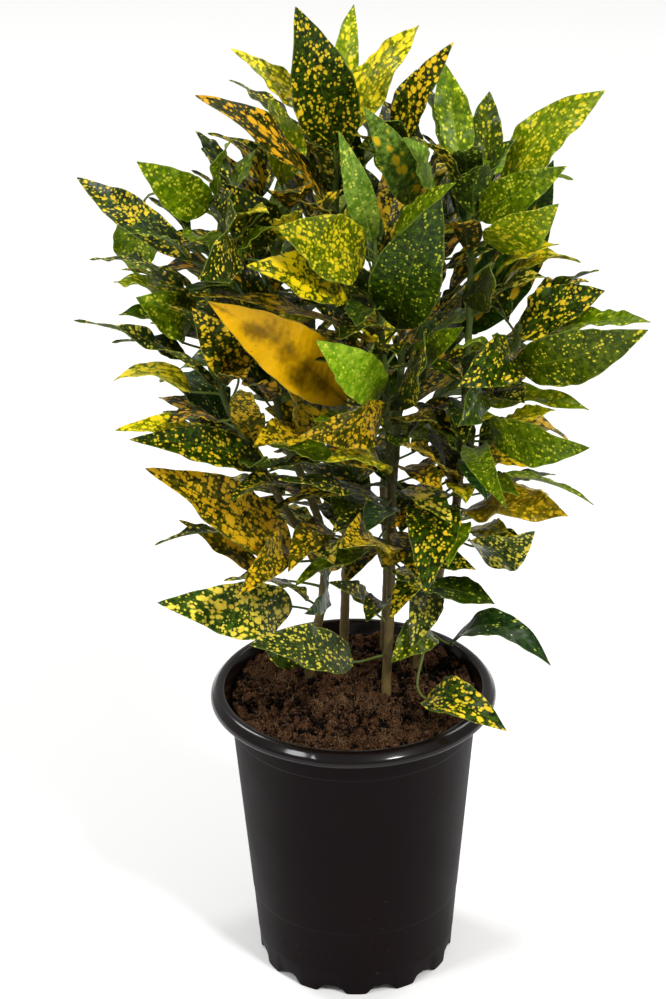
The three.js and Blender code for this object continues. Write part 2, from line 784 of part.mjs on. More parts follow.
const materials = {
  pot: new THREE.MeshStandardMaterial({ color: 0x211b1c, roughness: 0.45, metalness: 0 }),
  peat: new THREE.MeshStandardMaterial({ color: 0x3a2418, roughness: 0.95, metalness: 0 }),
  leaf: new THREE.MeshStandardMaterial({ color: 0x47572a, roughness: 0.35, metalness: 0 }),
};

const group = new THREE.Group();

function addPiece(name, solid, material) {
  const mesh = new THREE.Mesh(toGeometry(solid), material);
  mesh.name = name;
  group.add(mesh);
}

const stems = {};
for (const [stem, plan] of Object.entries(stemPlans)) {
  const branches = plan.map((branch) => branch.map((point) => vec(...point)));
  stems[stem] = branches;
  canes[stem] = branches.flatMap((branch, i) => caneSamples(branch, i === 0 ? caneRadius : branchRadius));
}
for (const [stem, rows] of Object.entries(frontLeaves)) {
  rows.forEach((row) => placeFrontLeaf(stem, stems[stem], row));
}
for (const stem of Object.keys(stems)) {
  placeRuleLeaves(stem, stems[stem]);
}

addPiece('pot', makePot(), materials.pot);
addPiece('peat', makePeat(), materials.peat);
for (const [stem, branches] of Object.entries(stems)) {
  addPiece(`leafy_stem_${stem}`, makeStem(stem, branches), materials.leaf);
}

export default group;
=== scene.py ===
import math

import bmesh
import bpy
import numpy as np
from mathutils import Matrix, Vector, noise


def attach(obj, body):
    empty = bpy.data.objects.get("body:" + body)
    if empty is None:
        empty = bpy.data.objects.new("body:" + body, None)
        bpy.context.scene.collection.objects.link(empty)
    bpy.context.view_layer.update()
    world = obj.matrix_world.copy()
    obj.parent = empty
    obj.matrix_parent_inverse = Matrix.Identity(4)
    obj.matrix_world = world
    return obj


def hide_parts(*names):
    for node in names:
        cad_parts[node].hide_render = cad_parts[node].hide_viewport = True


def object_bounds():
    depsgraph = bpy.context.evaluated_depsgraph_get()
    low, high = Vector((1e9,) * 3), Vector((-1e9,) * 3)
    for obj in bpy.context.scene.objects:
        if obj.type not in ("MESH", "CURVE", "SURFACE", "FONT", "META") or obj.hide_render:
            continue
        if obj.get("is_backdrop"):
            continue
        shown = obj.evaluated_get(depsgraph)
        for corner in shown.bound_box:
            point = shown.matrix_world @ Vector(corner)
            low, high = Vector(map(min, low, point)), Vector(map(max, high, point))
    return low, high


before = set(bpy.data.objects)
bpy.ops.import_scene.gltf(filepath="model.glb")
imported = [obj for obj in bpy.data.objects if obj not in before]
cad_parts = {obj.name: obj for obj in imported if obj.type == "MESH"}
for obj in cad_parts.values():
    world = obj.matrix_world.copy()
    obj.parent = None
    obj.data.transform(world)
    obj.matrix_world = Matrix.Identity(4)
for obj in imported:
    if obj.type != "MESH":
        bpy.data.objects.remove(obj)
for spare in ("Cube", "Light", "Camera"):
    if spare in bpy.data.objects:
        bpy.data.objects.remove(bpy.data.objects[spare])
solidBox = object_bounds()
metre = 0.001
print("frame loaded")


# Shader tools

class Wire:
    # A socket that can stand in a sum. Each operator adds the Math or Vector Math node that it needs.
    def __init__(self, book, socket):
        self.book = book
        self.socket = socket

    def other(self, name):
        return Wire(self.book, self.socket.node.outputs[name])

    def joined(self, operation, left, right):
        isVector = any(
            isinstance(part, tuple) or (isinstance(part, Wire) and part.socket.type != "VALUE")
            for part in (left, right)
        )
        kind = "ShaderNodeVectorMath" if isVector else "ShaderNodeMath"
        return self.book.node(kind, {"operation": operation}, {0: left, 1: right})

    def __add__(self, value):
        return self.joined("ADD", self, value)

    def __radd__(self, value):
        return self.joined("ADD", value, self)

    def __sub__(self, value):
        return self.joined("SUBTRACT", self, value)

    def __rsub__(self, value):
        return self.joined("SUBTRACT", value, self)

    def __mul__(self, value):
        return self.joined("MULTIPLY", self, value)

    def __rmul__(self, value):
        return self.joined("MULTIPLY", value, self)


class Shader:
    def __init__(self, name):
        self.material = bpy.data.materials.new(name)
        self.material.use_nodes = True
        self.tree = self.material.node_tree
        self.tree.nodes.clear()

    def node(self, kind, settings, sockets, output=0):
        made = self.tree.nodes.new(kind)
        for name, value in settings.items():
            setattr(made, name, value)
        for name, value in sockets.items():
            socket = made.inputs[name]
            if isinstance(value, Wire):
                self.tree.links.new(value.socket, socket)
            elif socket.type == "VECTOR" and not isinstance(value, tuple):
                socket.default_value = (value, value, value)
            else:
                socket.default_value = value
        return Wire(self, made.outputs[output]) if made.outputs else None

    def blend(self, share, low, high):
        return self.node("ShaderNodeMix", {"data_type": "RGBA"}, {0: share, 6: low, 7: high}, 2)

    def mark(self, name):
        return self.node("ShaderNodeAttribute", {"attribute_name": name}, {}, "Vector")

    def parts(self, vector):
        first = self.node("ShaderNodeSeparateXYZ", {}, {0: vector})
        return first, first.other("Y"), first.other("Z")

    def rise(self, value, low, high):
        # 0 below low, 1 above high, and smooth between
        return self.node(
            "ShaderNodeMapRange",
            {"interpolation_type": "SMOOTHSTEP"},
            {"Value": value, "From Min": low, "From Max": high},
        )

    def larger(self, one, two):
        return self.node("ShaderNodeMath", {"operation": "MAXIMUM"}, {0: one, 1: two})

    def grain(self, place, scale, detail=2.0, output=0):
        return self.node(
            "ShaderNodeTexNoise", {}, {"Vector": place, "Scale": scale, "Detail": detail}, output
        )

    def surface(self, colour, roughness, height, relief, **constants):
        # relief: how strong the bump is, and how high in metres
        strength, depth = relief
        bump = self.node(
            "ShaderNodeBump", {}, {"Strength": strength, "Distance": depth, "Height": height}
        )
        sockets = {"Base Color": colour, "Roughness": roughness, "Normal": bump}
        sockets.update({name.replace("_", " "): value for name, value in constants.items()})
        skin = self.node("ShaderNodeBsdfPrincipled", {}, sockets)
        self.node("ShaderNodeOutputMaterial", {}, {"Surface": skin})
        return self.material


def tone(red, green, blue):
    # screen values from 0 to 255 as linear light
    return tuple((value / 255) ** 2.2 for value in (red, green, blue)) + (1.0,)


# Mesh tools

class Heap:
    # Vertices, faces and vertex marks, gathered before one mesh is made of them
    def __init__(self, marks):
        self.points = []
        self.faces = []
        self.slots = []
        self.marks = {name: [] for name in marks}
        self.count = 0

    def add(self, points, faces, slot=0, **marks):
        points = np.asarray(points, float).reshape(-1, 3)
        self.points.append(points)
        for group in faces:
            group = np.asarray(group)
            self.faces += (group + self.count).tolist()
            self.slots += [slot] * len(group)
        for name, gathered in self.marks.items():
            value = np.asarray(marks.get(name, (0.0, 0.0, 0.0)), float)
            gathered.append(np.broadcast_to(value, points.shape))
        self.count += len(points)

    def piece(self, name, materials, sharpAngle):
        mesh = bpy.data.meshes.new(name)
        mesh.from_pydata((np.concatenate(self.points) * metre).tolist(), [], self.faces)
        for material in materials:
            mesh.materials.append(material)
        mesh.polygons.foreach_set("material_index", self.slots)
        for mark, gathered in self.marks.items():
            layer = mesh.attributes.new(mark, "FLOAT_VECTOR", "POINT")
            layer.data.foreach_set("vector", np.concatenate(gathered).astype(np.float32).ravel())
        mesh.shade_smooth()
        mesh.set_sharp_from_angle(angle=math.radians(sharpAngle))
        made = bpy.data.objects.new(name, mesh)
        bpy.context.collection.objects.link(made)
        return made


def gridFaces(rows, columns, closed=False, flipped=False):
    # Four-sided faces between the points of a grid; a closed one runs round from the last column
    around = columns if closed else columns - 1
    i, j = np.meshgrid(np.arange(rows - 1), np.arange(around), indexing="ij")
    k = (j + 1) % columns
    corners = [i * columns + j, i * columns + k, (i + 1) * columns + k, (i + 1) * columns + j]
    if flipped:
        corners.reverse()
    return np.stack(corners, -1).reshape(-1, 4)


def unit(vector):
    return vector / np.linalg.norm(vector)


def smoothPath(points, spacing):
    # A curve through all points, with samples about spacing apart
    points = np.asarray(points, float)
    padded = np.vstack([2 * points[0] - points[1], points, 2 * points[-1] - points[-2]])
    path = []
    for a, b, c, d in zip(padded, padded[1:], padded[2:], padded[3:]):
        count = max(1, int(np.ceil(np.linalg.norm(c - b) / spacing)))
        t = np.arange(count)[:, None] / count
        curved = (2 * a - 5 * b + 4 * c - d) * t**2 + (3 * b - a - 3 * c + d) * t**3
        path.append(0.5 * (2 * b + (c - a) * t + curved))
    path.append(points[-1:])
    return np.concatenate(path)


def tube(path, radii, sides):
    # Points and faces of a round tube along a path, closed at both ends
    ways = np.gradient(path, axis=0)
    ways /= np.linalg.norm(ways, axis=1)[:, None]
    across = np.array([1.0, 0.0, 0.0]) if abs(ways[0][0]) < 0.8 else np.array([0.0, 1.0, 0.0])
    angles = np.arange(sides) * 2 * np.pi / sides
    rings = []
    for place, way, radius in zip(path, ways, radii):
        across = unit(across - way * across.dot(way))
        along = np.cross(way, across)
        outward = np.outer(np.cos(angles), across) + np.outer(np.sin(angles), along)
        rings.append(place + radius * outward)
    points = np.vstack([*rings, path[:1], path[-1:]])
    faces = gridFaces(len(path), sides, closed=True)
    first, last = len(path) * sides, len(path) * sides + 1
    top = (len(path) - 1) * sides
    turn = np.arange(sides)
    following = (turn + 1) % sides
    caps = [
        np.stack([np.full(sides, first), following, turn], -1),
        np.stack([np.full(sides, last), top + turn, top + following], -1),
    ]
    return points, [faces, *caps]


# The pot

pot = {
    "height": 205, "rim": 95, "wall": 1.8, "floor": 2, "segments": 288,
    "lipHeight": 9, "lipReach": 10, "lipInset": 1.5, "lipMouth": 2.5, "mouthDrop": 4,
    "lipSlope": 5, "lipCrown": 1.2, "chamferTop": 17, "chamfer": 68,
    "foot": 64, "footHeight": 6, "footWidth": 9, "footChamfer": 1, "footFlare": 1.8, "flareHeight": 11,
    "floorInset": 2, "axisRadius": 0.02,
    "notches": 12, "notchWidth": 15, "notchHeight": 5.5, "notchBearing": 15, "notchSlope": 8,
    "drains": 6, "drainRadius": 5, "drainCircle": 42, "drainSides": 24,
    "shoulderDrop": 26, "ringStep": 0.9, "lowRing": 52, "lowRingStep": 0.25, "ringRise": 1.5,
    "outerMiddle": 110, "innerMiddle": 100,
    "partingBearing": -106.5, "partingStep": 0.45, "partingRise": 1.2, "partingFade": 120,
    "partingInset": 5, "partingWidth": 4,
    "black": tone(18, 10, 12), "worn": tone(28, 19, 21), "dust": tone(80, 72, 70),
    "roughness": 0.5, "lipRoughness": 0.32,
}


def bodyRadius(height):
    widest = pot["rim"] - pot["lipReach"] - pot["lipInset"]
    lipBottom = pot["height"] - pot["lipHeight"]
    share = (height - pot["chamferTop"]) / (lipBottom - pot["chamferTop"])
    stepped = pot["ringStep"] if height < pot["height"] - pot["shoulderDrop"] else 0
    return pot["chamfer"] + (widest - pot["chamfer"]) * share - stepped


def innerRadius(height):
    return bodyRadius(height) - pot["wall"]


def rounded(corners):
    # A profile of (radius, height, rounding) corners, each rounded by its own arc, the wide ones finely
    wide, longest = 1.7, 0.7  # millimetres, and an arc's share of the edges beside it
    profile = [np.array(corners[0][:2], float)]
    for before, corner, after in zip(corners, corners[1:], corners[2:]):
        at = np.array(corner[:2], float)
        back = np.array(before[:2], float) - at
        ahead = np.array(after[:2], float) - at
        reach = min(corner[2], longest * np.linalg.norm(back), longest * np.linalg.norm(ahead))
        start, end = at + unit(back) * reach, at + unit(ahead) * reach
        for t in np.linspace(0, 1, 8 if corner[2] > wide else 4):
            profile.append((1 - t) ** 2 * start + 2 * t * (1 - t) * at + t**2 * end)
    profile.append(np.array(corners[-1][:2], float))
    return np.array(profile)


def potProfile():
    height, lipBottom = pot["height"], pot["height"] - pot["lipHeight"]
    shoulder = height - pot["shoulderDrop"]
    low, under = pot["lowRing"], pot["lowRing"] - pot["ringRise"]
    inFoot = pot["foot"] - pot["footWidth"]
    floorTop = pot["footHeight"] + pot["floor"]
    outer, inner, mouth = pot["outerMiddle"], pot["innerMiddle"], innerRadius(lipBottom)
    return rounded([
        (pot["axisRadius"], pot["footHeight"], 0), (inFoot, pot["footHeight"], 0.8),
        (inFoot + pot["footChamfer"], 0, 0.5),
        (pot["foot"], 0, 0.8), (pot["chamfer"] - pot["ringStep"], pot["chamferTop"], 2.5),
        (bodyRadius(under) - pot["lowRingStep"], under, 0.7), (bodyRadius(low), low, 0.7),
        (bodyRadius(outer), outer, 0.5), (bodyRadius(shoulder - 1), shoulder - 1.2, 0.7),
        (bodyRadius(shoulder), shoulder, 0.7), (bodyRadius(lipBottom), lipBottom, 0.7),
        (pot["rim"], lipBottom, 1.8), (pot["rim"], height - pot["lipSlope"], 2),
        (pot["rim"] - 0.9 * pot["lipSlope"], height, 2.3),
        (pot["rim"] - pot["lipReach"] + pot["lipCrown"], height, 1.8),
        (mouth + pot["lipMouth"], height - pot["mouthDrop"], 1.5), (mouth, lipBottom, 2),
        (innerRadius(inner), inner, 0.5), (innerRadius(pot["chamferTop"]), pot["chamferTop"], 2),
        (pot["foot"] - pot["floorInset"], floorTop, 1.5), (pot["axisRadius"], floorTop, 0),
    ])


def notchAt(bearings):
    # How high the foot is cut away at each bearing in degrees
    spacing = 360 / pot["notches"]
    off = (bearings - pot["notchBearing"] + spacing / 2) % spacing - spacing / 2
    distance = np.radians(np.abs(off)) * pot["foot"]
    share = np.clip((pot["notchWidth"] / 2 + pot["notchSlope"] / 2 - distance) / pot["notchSlope"], 0, 1)
    return pot["notchHeight"] * share * share * (3 - 2 * share)


def makePot(material):
    profile = potProfile()
    bearings = np.arange(pot["segments"]) * 360 / pot["segments"]
    radius = np.repeat(profile[:, :1], pot["segments"], 1)
    height = np.repeat(profile[:, 1:], pot["segments"], 1)
    cut = notchAt(bearings)
    lowered = height < cut
    inside = profile[:, :1] < pot["foot"] - pot["footWidth"] / 2
    flare = (pot["chamfer"] - pot["ringStep"] - pot["foot"]) / pot["chamferTop"]
    moved = np.where(inside, -1 / pot["footHeight"], flare) * (cut - height)
    radius = np.where(lowered, radius + moved, radius)
    height = np.where(lowered, cut, height)
    # each foot between two notches stands out, most of all at its own middle
    low = np.clip(1 - height / pot["flareHeight"], 0, 1) * ~inside
    radius = radius + pot["footFlare"] * low * (1 - cut / pot["notchHeight"]) ** 1.5
    # the lip stands out a little from the mould's parting mark on
    past = (bearings - pot["partingBearing"]) % 360
    rising = np.clip(past / pot["partingRise"], 0, 1)
    fading = np.clip(1 - past / pot["partingFade"], 0, 1)
    onLip = np.clip((profile[:, :1] - pot["rim"] + pot["partingInset"]) / pot["partingWidth"], 0, 1)
    onLip = onLip * (profile[:, 1:] > pot["height"] - pot["lipHeight"])
    radius = radius + onLip * (pot["partingStep"] * rising * fading)
    angles = np.radians(bearings)
    points = np.stack([radius * np.cos(angles), radius * np.sin(angles), height], -1)
    heap = Heap(())
    heap.add(points, [gridFaces(len(profile), pot["segments"], closed=True)])
    shell = heap.piece("nursery_pot", [material], 40)
    drillDrains(shell)
    return shell


def drillDrains(shell):
    heap = Heap(())
    middle, reach = pot["footHeight"] + pot["floor"] / 2, 2 * pot["floor"]
    for k in range(pot["drains"]):
        bearing = 2 * math.pi * k / pot["drains"]
        x, y = pot["drainCircle"] * math.cos(bearing), pot["drainCircle"] * math.sin(bearing)
        path = np.array([[x, y, middle - reach], [x, y, middle + reach]])
        heap.add(*tube(path, [pot["drainRadius"]] * 2, pot["drainSides"]))
    drills = heap.piece("drills", [], 40)
    cut = shell.modifiers.new("drains", "BOOLEAN")
    cut.operation = "DIFFERENCE"
    cut.solver = "EXACT"
    cut.object = drills
    view = bpy.context.evaluated_depsgraph_get()
    drilled = bpy.data.meshes.new_from_object(shell.evaluated_get(view))
    shell.modifiers.clear()
    shell.data = drilled
    bpy.data.objects.remove(drills)


def potPlastic():
    book = Shader("pot_plastic")
    place = book.node("ShaderNodeTexCoord", {}, {}, "Object")
    lipBottom = pot["height"] - pot["lipHeight"]
    lip = book.rise(book.parts(place)[2], (lipBottom - 2) * metre, (lipBottom + 1) * metre)
    cloud = book.grain(place, 22.0, 3.0)
    speck = book.grain(place, 420.0, 1.0)
    band = book.grain(place * (60.0, 60.0, 9.0), 1.0, 3.0)
    dusty = book.rise(speck, 0.69, 0.76) * book.rise(cloud, 0.52, 0.68)
    colour = book.blend(cloud * 0.6, pot["black"], pot["worn"])
    colour = book.blend(dusty * 0.55, colour, pot["dust"])
    rough = pot["roughness"] + (cloud - 0.5) * 0.22 + dusty * 0.2
    rough = rough + (pot["lipRoughness"] + cloud * 0.08 - rough) * lip
    fine = book.grain(place, 900.0, 2.0)
    height = fine * 0.25 + band * 0.5 + speck * 0.15
    return book.surface(
        colour, rough, height, (0.3, 0.0004),
        IOR=1.15, Coat_Weight=lip, Coat_IOR=1.3, Coat_Roughness=0.11,
    )


# The peat

peat = {
    "drop": 9, "lump": 3.2, "gap": 0.4, "slack": 0.3, "footInset": 2.5, "wallDrop": 25,
    "rings": 76, "sectors": 260,
    "bendSize": 9, "bendReach": 4, "clod": 11.5, "clodRise": 8.0, "lumpSize": 4.4, "lumpRise": 3.6,
    "crumbSize": 3.2, "crumbRise": 2.2, "creviceShadeScale": 0.2, "bank": 1.8, "bankFrom": 58, "bankWidth": 20,
    "crumbs": 1700, "crumbSizes": (0.8, 2.4), "largeShare": 0.14, "largeFactor": 1.9,
    "crumbEdge": 3, "crumbLift": 0.25, "crumbSquash": (0.6, 1.2), "crumbBump": 0.6, "crumbBumps": 1.9,
    "tufts": 60, "tuftReach": 7.5, "tuftEdge": 6, "tuftFibres": 14,
    "fibreRadius": (0.09, 0.2), "fibreSteps": (5, 11), "fibreStep": 1.2, "fibreSpacing": 1.1,
    "fibreCurl": 0.7, "fibreWander": 0.35, "fibreEdge": 2, "fibreLift": 0.5, "fibreArch": 1.5,
    "dark": tone(10, 3, 1), "brown": tone(67, 45, 30), "speck": tone(118, 92, 66),
    "fibre": tone(136, 108, 78), "seed": 5,
}
soilTop = pot["height"] - peat["drop"]


def peatLevel(x, y):
    swell = math.sin(x * 0.11 + 1.3) * math.cos(y * 0.13 - 0.4)
    lumps = math.sin(x * 0.31 + y * 0.17) * math.cos(y * 0.29 - x * 0.12 + 2)
    return soilTop + peat["lump"] * (0.45 * swell + 0.45 * lumps)


def peatHeight(x, y):
    bend = noise.noise(Vector((x, y, 9)) / peat["bendSize"]) * peat["bendReach"]
    clods = noise.voronoi(Vector((x + bend, y - bend, 0)) / peat["clod"])[0][0]
    lumps = noise.voronoi(Vector((x - bend, y, 3)) / peat["lumpSize"])[0][0]
    crumbs = noise.fractal(Vector((x, y, 40)) / peat["crumbSize"], 0.8, 2.0, 4)
    rise = peat["clodRise"] * (0.36 - min(clods, 0.9) ** 1.6)
    rise += peat["lumpRise"] * (0.4 - min(lumps, 0.9) ** 1.5)
    # it is banked up a little against the wall of the pot
    bank = peat["bank"] * min(1, max(0, (math.hypot(x, y) - peat["bankFrom"]) / peat["bankWidth"]))
    return peatLevel(x, y) + rise + bank + peat["crumbRise"] * crumbs


def makePeat(material):
    draws = np.random.default_rng(peat["seed"])
    topRadius = innerRadius(soilTop + peat["lump"]) - peat["gap"] - 2 * peat["slack"]
    heap = Heap(("peatPick",))
    addSoil(heap, topRadius)
    addCrumbs(heap, draws, topRadius)
    for _ in range(peat["tufts"]):
        x, y = peatPlace(draws, topRadius - peat["tuftEdge"])
        for _ in range(peat["tuftFibres"]):
            place = np.array([x, y]) + draws.normal(0, peat["tuftReach"] / 2, 2)
            addFibre(heap, draws, place, topRadius)
    return heap.piece("peat_surface", [material], 60)


def addSoil(heap, topRadius):
    # The body of the peat, from the pot's floor up its wall and over the clods
    gap, slack, sectors = peat["gap"], peat["slack"], peat["sectors"]
    floor = pot["footHeight"] + pot["floor"] + gap
    wallTop = soilTop - peat["wallDrop"]
    angles = np.arange(sectors) * 2 * np.pi / sectors
    rows = []
    for radius, height in (
        (pot["axisRadius"], floor),
        (pot["foot"] - peat["footInset"], floor),
        (innerRadius(pot["chamferTop"]) - gap - slack, pot["chamferTop"] + gap),
        (innerRadius(wallTop) - gap - slack, wallTop),
    ):
        level = np.full(sectors, height)
        rows.append(np.stack([radius * np.cos(angles), radius * np.sin(angles), level], -1))
    for share in np.linspace(1, 0, peat["rings"]):
        reach = max(topRadius * share, pot["axisRadius"])
        ring = [(reach * math.cos(a), reach * math.sin(a)) for a in angles]
        rows.append(np.array([(x, y, peatHeight(x, y)) for x, y in ring]))
    points = np.concatenate(rows)
    # each point's depth below the peat's level, kept for the painted shade in its crevices
    depth = [(peatLevel(x, y) - z) * peat["creviceShadeScale"] + 0.4 for x, y, z in points]
    picks = np.stack([np.zeros(len(points)), np.zeros(len(points)), np.clip(depth, 0, 1)], -1)
    heap.add(points, [gridFaces(len(rows), sectors, closed=True)], peatPick=picks)


def addCrumbs(heap, draws, topRadius):
    smallBall, largeBall = crumbShape(1), crumbShape(2)
    for i in range(peat["crumbs"]):
        x, y = peatPlace(draws, topRadius - peat["crumbEdge"])
        isLarge = draws.random() < peat["largeShare"]
        ball, ballFaces = largeBall if isLarge else smallBall
        size = draws.uniform(*peat["crumbSizes"]) * (peat["largeFactor"] if isLarge else 1)
        shift = Vector((i, 0, 0))
        bumps = [noise.noise(Vector(point) * peat["crumbBumps"] + shift) for point in ball]
        bumpy = ball * (0.72 + peat["crumbBump"] * np.array(bumps))[:, None]
        shape = bumpy * size * draws.uniform(*peat["crumbSquash"], 3)
        middle = (x, y, peatHeight(x, y) + peat["crumbLift"] * size)
        # each crumb takes a random depth for the painted crevice shade, so most crumbs are painted
        # lighter than the hollows
        heap.add(shape + middle, [ballFaces], peatPick=(0, draws.random(), draws.uniform(0.1, 0.6)))


def peatPlace(draws, widest):
    reach, bearing = widest * math.sqrt(draws.random()), draws.uniform(0, 2 * math.pi)
    return reach * math.cos(bearing), reach * math.sin(bearing)


def crumbShape(fineness):
    made = bmesh.new()
    bmesh.ops.create_icosphere(made, subdivisions=fineness, radius=1)
    points = np.array([vertex.co[:] for vertex in made.verts])
    faces = np.array([[vertex.index for vertex in face.verts] for face in made.faces])
    made.free()
    return points, faces


def addFibre(heap, draws, place, topRadius):
    heading, curl = draws.uniform(0, 2 * math.pi), draws.uniform(-peat["fibreCurl"], peat["fibreCurl"])
    radius = draws.uniform(*peat["fibreRadius"])
    path = []
    for step in range(int(draws.integers(*peat["fibreSteps"]))):
        if np.hypot(*place) > topRadius - peat["fibreEdge"]:
            break
        lift = peat["fibreLift"] + peat["fibreArch"] * abs(math.sin(step * 0.9 + curl * 5))
        path.append([place[0], place[1], peatHeight(*place) + lift])
        heading += curl + draws.normal(0, peat["fibreWander"])
        place = place + peat["fibreStep"] * np.array([math.cos(heading), math.sin(heading)])
    if len(path) > 3:
        path = smoothPath(path, peat["fibreSpacing"])
        radii = np.linspace(radius, 0.5 * radius, len(path))
        heap.add(*tube(path, radii, 4), peatPick=(1, draws.random(), 0))


def peatMaterial():
    book = Shader("damp_peat")
    place = book.node("ShaderNodeTexCoord", {}, {}, "Object")
    fibre, pick, creviceShadeDepth = book.parts(book.mark("peatPick"))
    coarse = book.grain(place, 120.0, 4.0)
    fine = book.grain(place, 700.0, 3.0)
    strands = book.grain(place * (1.0, 0.25, 1.0), 900.0, 2.0)
    # the soil's tone: random grain, painted darker where the surface lies deep, as painted shade in the
    # crevices
    shade = book.rise(coarse * 0.5 + fine * 0.5 - (creviceShadeDepth - 0.4) * 0.5, 0.4, 0.63)
    soil = book.blend(shade, peat["dark"], peat["brown"])
    soil = book.blend(book.rise(fine, 0.55, 0.68) * shade * 0.6, soil, peat["speck"])
    soil = book.blend(book.rise(strands, 0.6, 0.7) * shade * 0.6, soil, peat["fibre"])
    threads = book.blend(pick, peat["brown"], peat["fibre"])
    colour = book.blend(fibre, soil, threads)
    rough = 0.92 - 0.25 * fibre + (fine - 0.5) * 0.1
    return book.surface(colour, rough, coarse * 0.5 + fine, (0.8, 0.0012), Specular_IOR_Level=0.1)


# The canes

stems = {
    "sides": 16, "foot": 45, "radius": 3.4, "branchRadius": 2.5, "tip": 1.6, "spacing": 2,
    "seatReach": 40,
    "scarSwell": 0.4, "scarLength": 1.6, "scarLimit": 0.5, "scarStart": 12, "scarGap": 13, "scarShift": 3,
    "oldWood": tone(110, 92, 54), "youngWood": tone(86, 78, 40), "green": tone(66, 84, 32),
    "petiole": tone(88, 104, 40), "woodHeights": (190, 330, 430, 560),
}

# Each cane's branches, from the peat or from their fork upwards
stemPlans = {
    "middle": [
        [(22, 0, 190), (25, 0, 267), (26, 5, 338), (24, 5, 395), (21, 0, 446), (17, -5, 492),
         (16, -5, 522)],
        [(26, 5, 338), (31, 20, 388), (34, 35, 444), (37, 42, 503), (36, 42, 554)],
    ],
    "left": [
        [(-29, 23, 190), (-20, 20, 257), (-18, 15, 301), (-28, 8, 344), (-42, 5, 382), (-47, 8, 412),
         (-50, 12, 455), (-46, 16, 498), (-37, 18, 537)],
        [(-19, 17, 285), (-40, 2, 329), (-60, -10, 376), (-78, -16, 418), (-86, -16, 457),
         (-85, -12, 496), (-77, -8, 541)],
    ],
    "right": [
        [(44, 36, 190), (54, 30, 251), (63, 25, 298), (69, 20, 330), (72, 12, 384), (74, 5, 429),
         (76, 5, 477), (76, 8, 516), (74, 10, 548)],
        [(72, 12, 384), (85, -5, 420), (97, -15, 443), (104, -20, 457), (106, -22, 471)],
    ],
    "back_left": [
        [(-6, 55, 190), (-4, 57, 267), (-4, 57, 349), (-5, 52, 431), (-7, 48, 501), (-8, 45, 556)],
        [(-4, 57, 327), (-20, 64, 368), (-39, 68, 421), (-53, 66, 471), (-58, 62, 511)],
    ],
    "back_right": [
        [(22, 62, 190), (24, 62, 267), (22, 66, 320), (32, 68, 370), (44, 68, 420), (52, 66, 470),
         (57, 63, 519)],
    ],
}

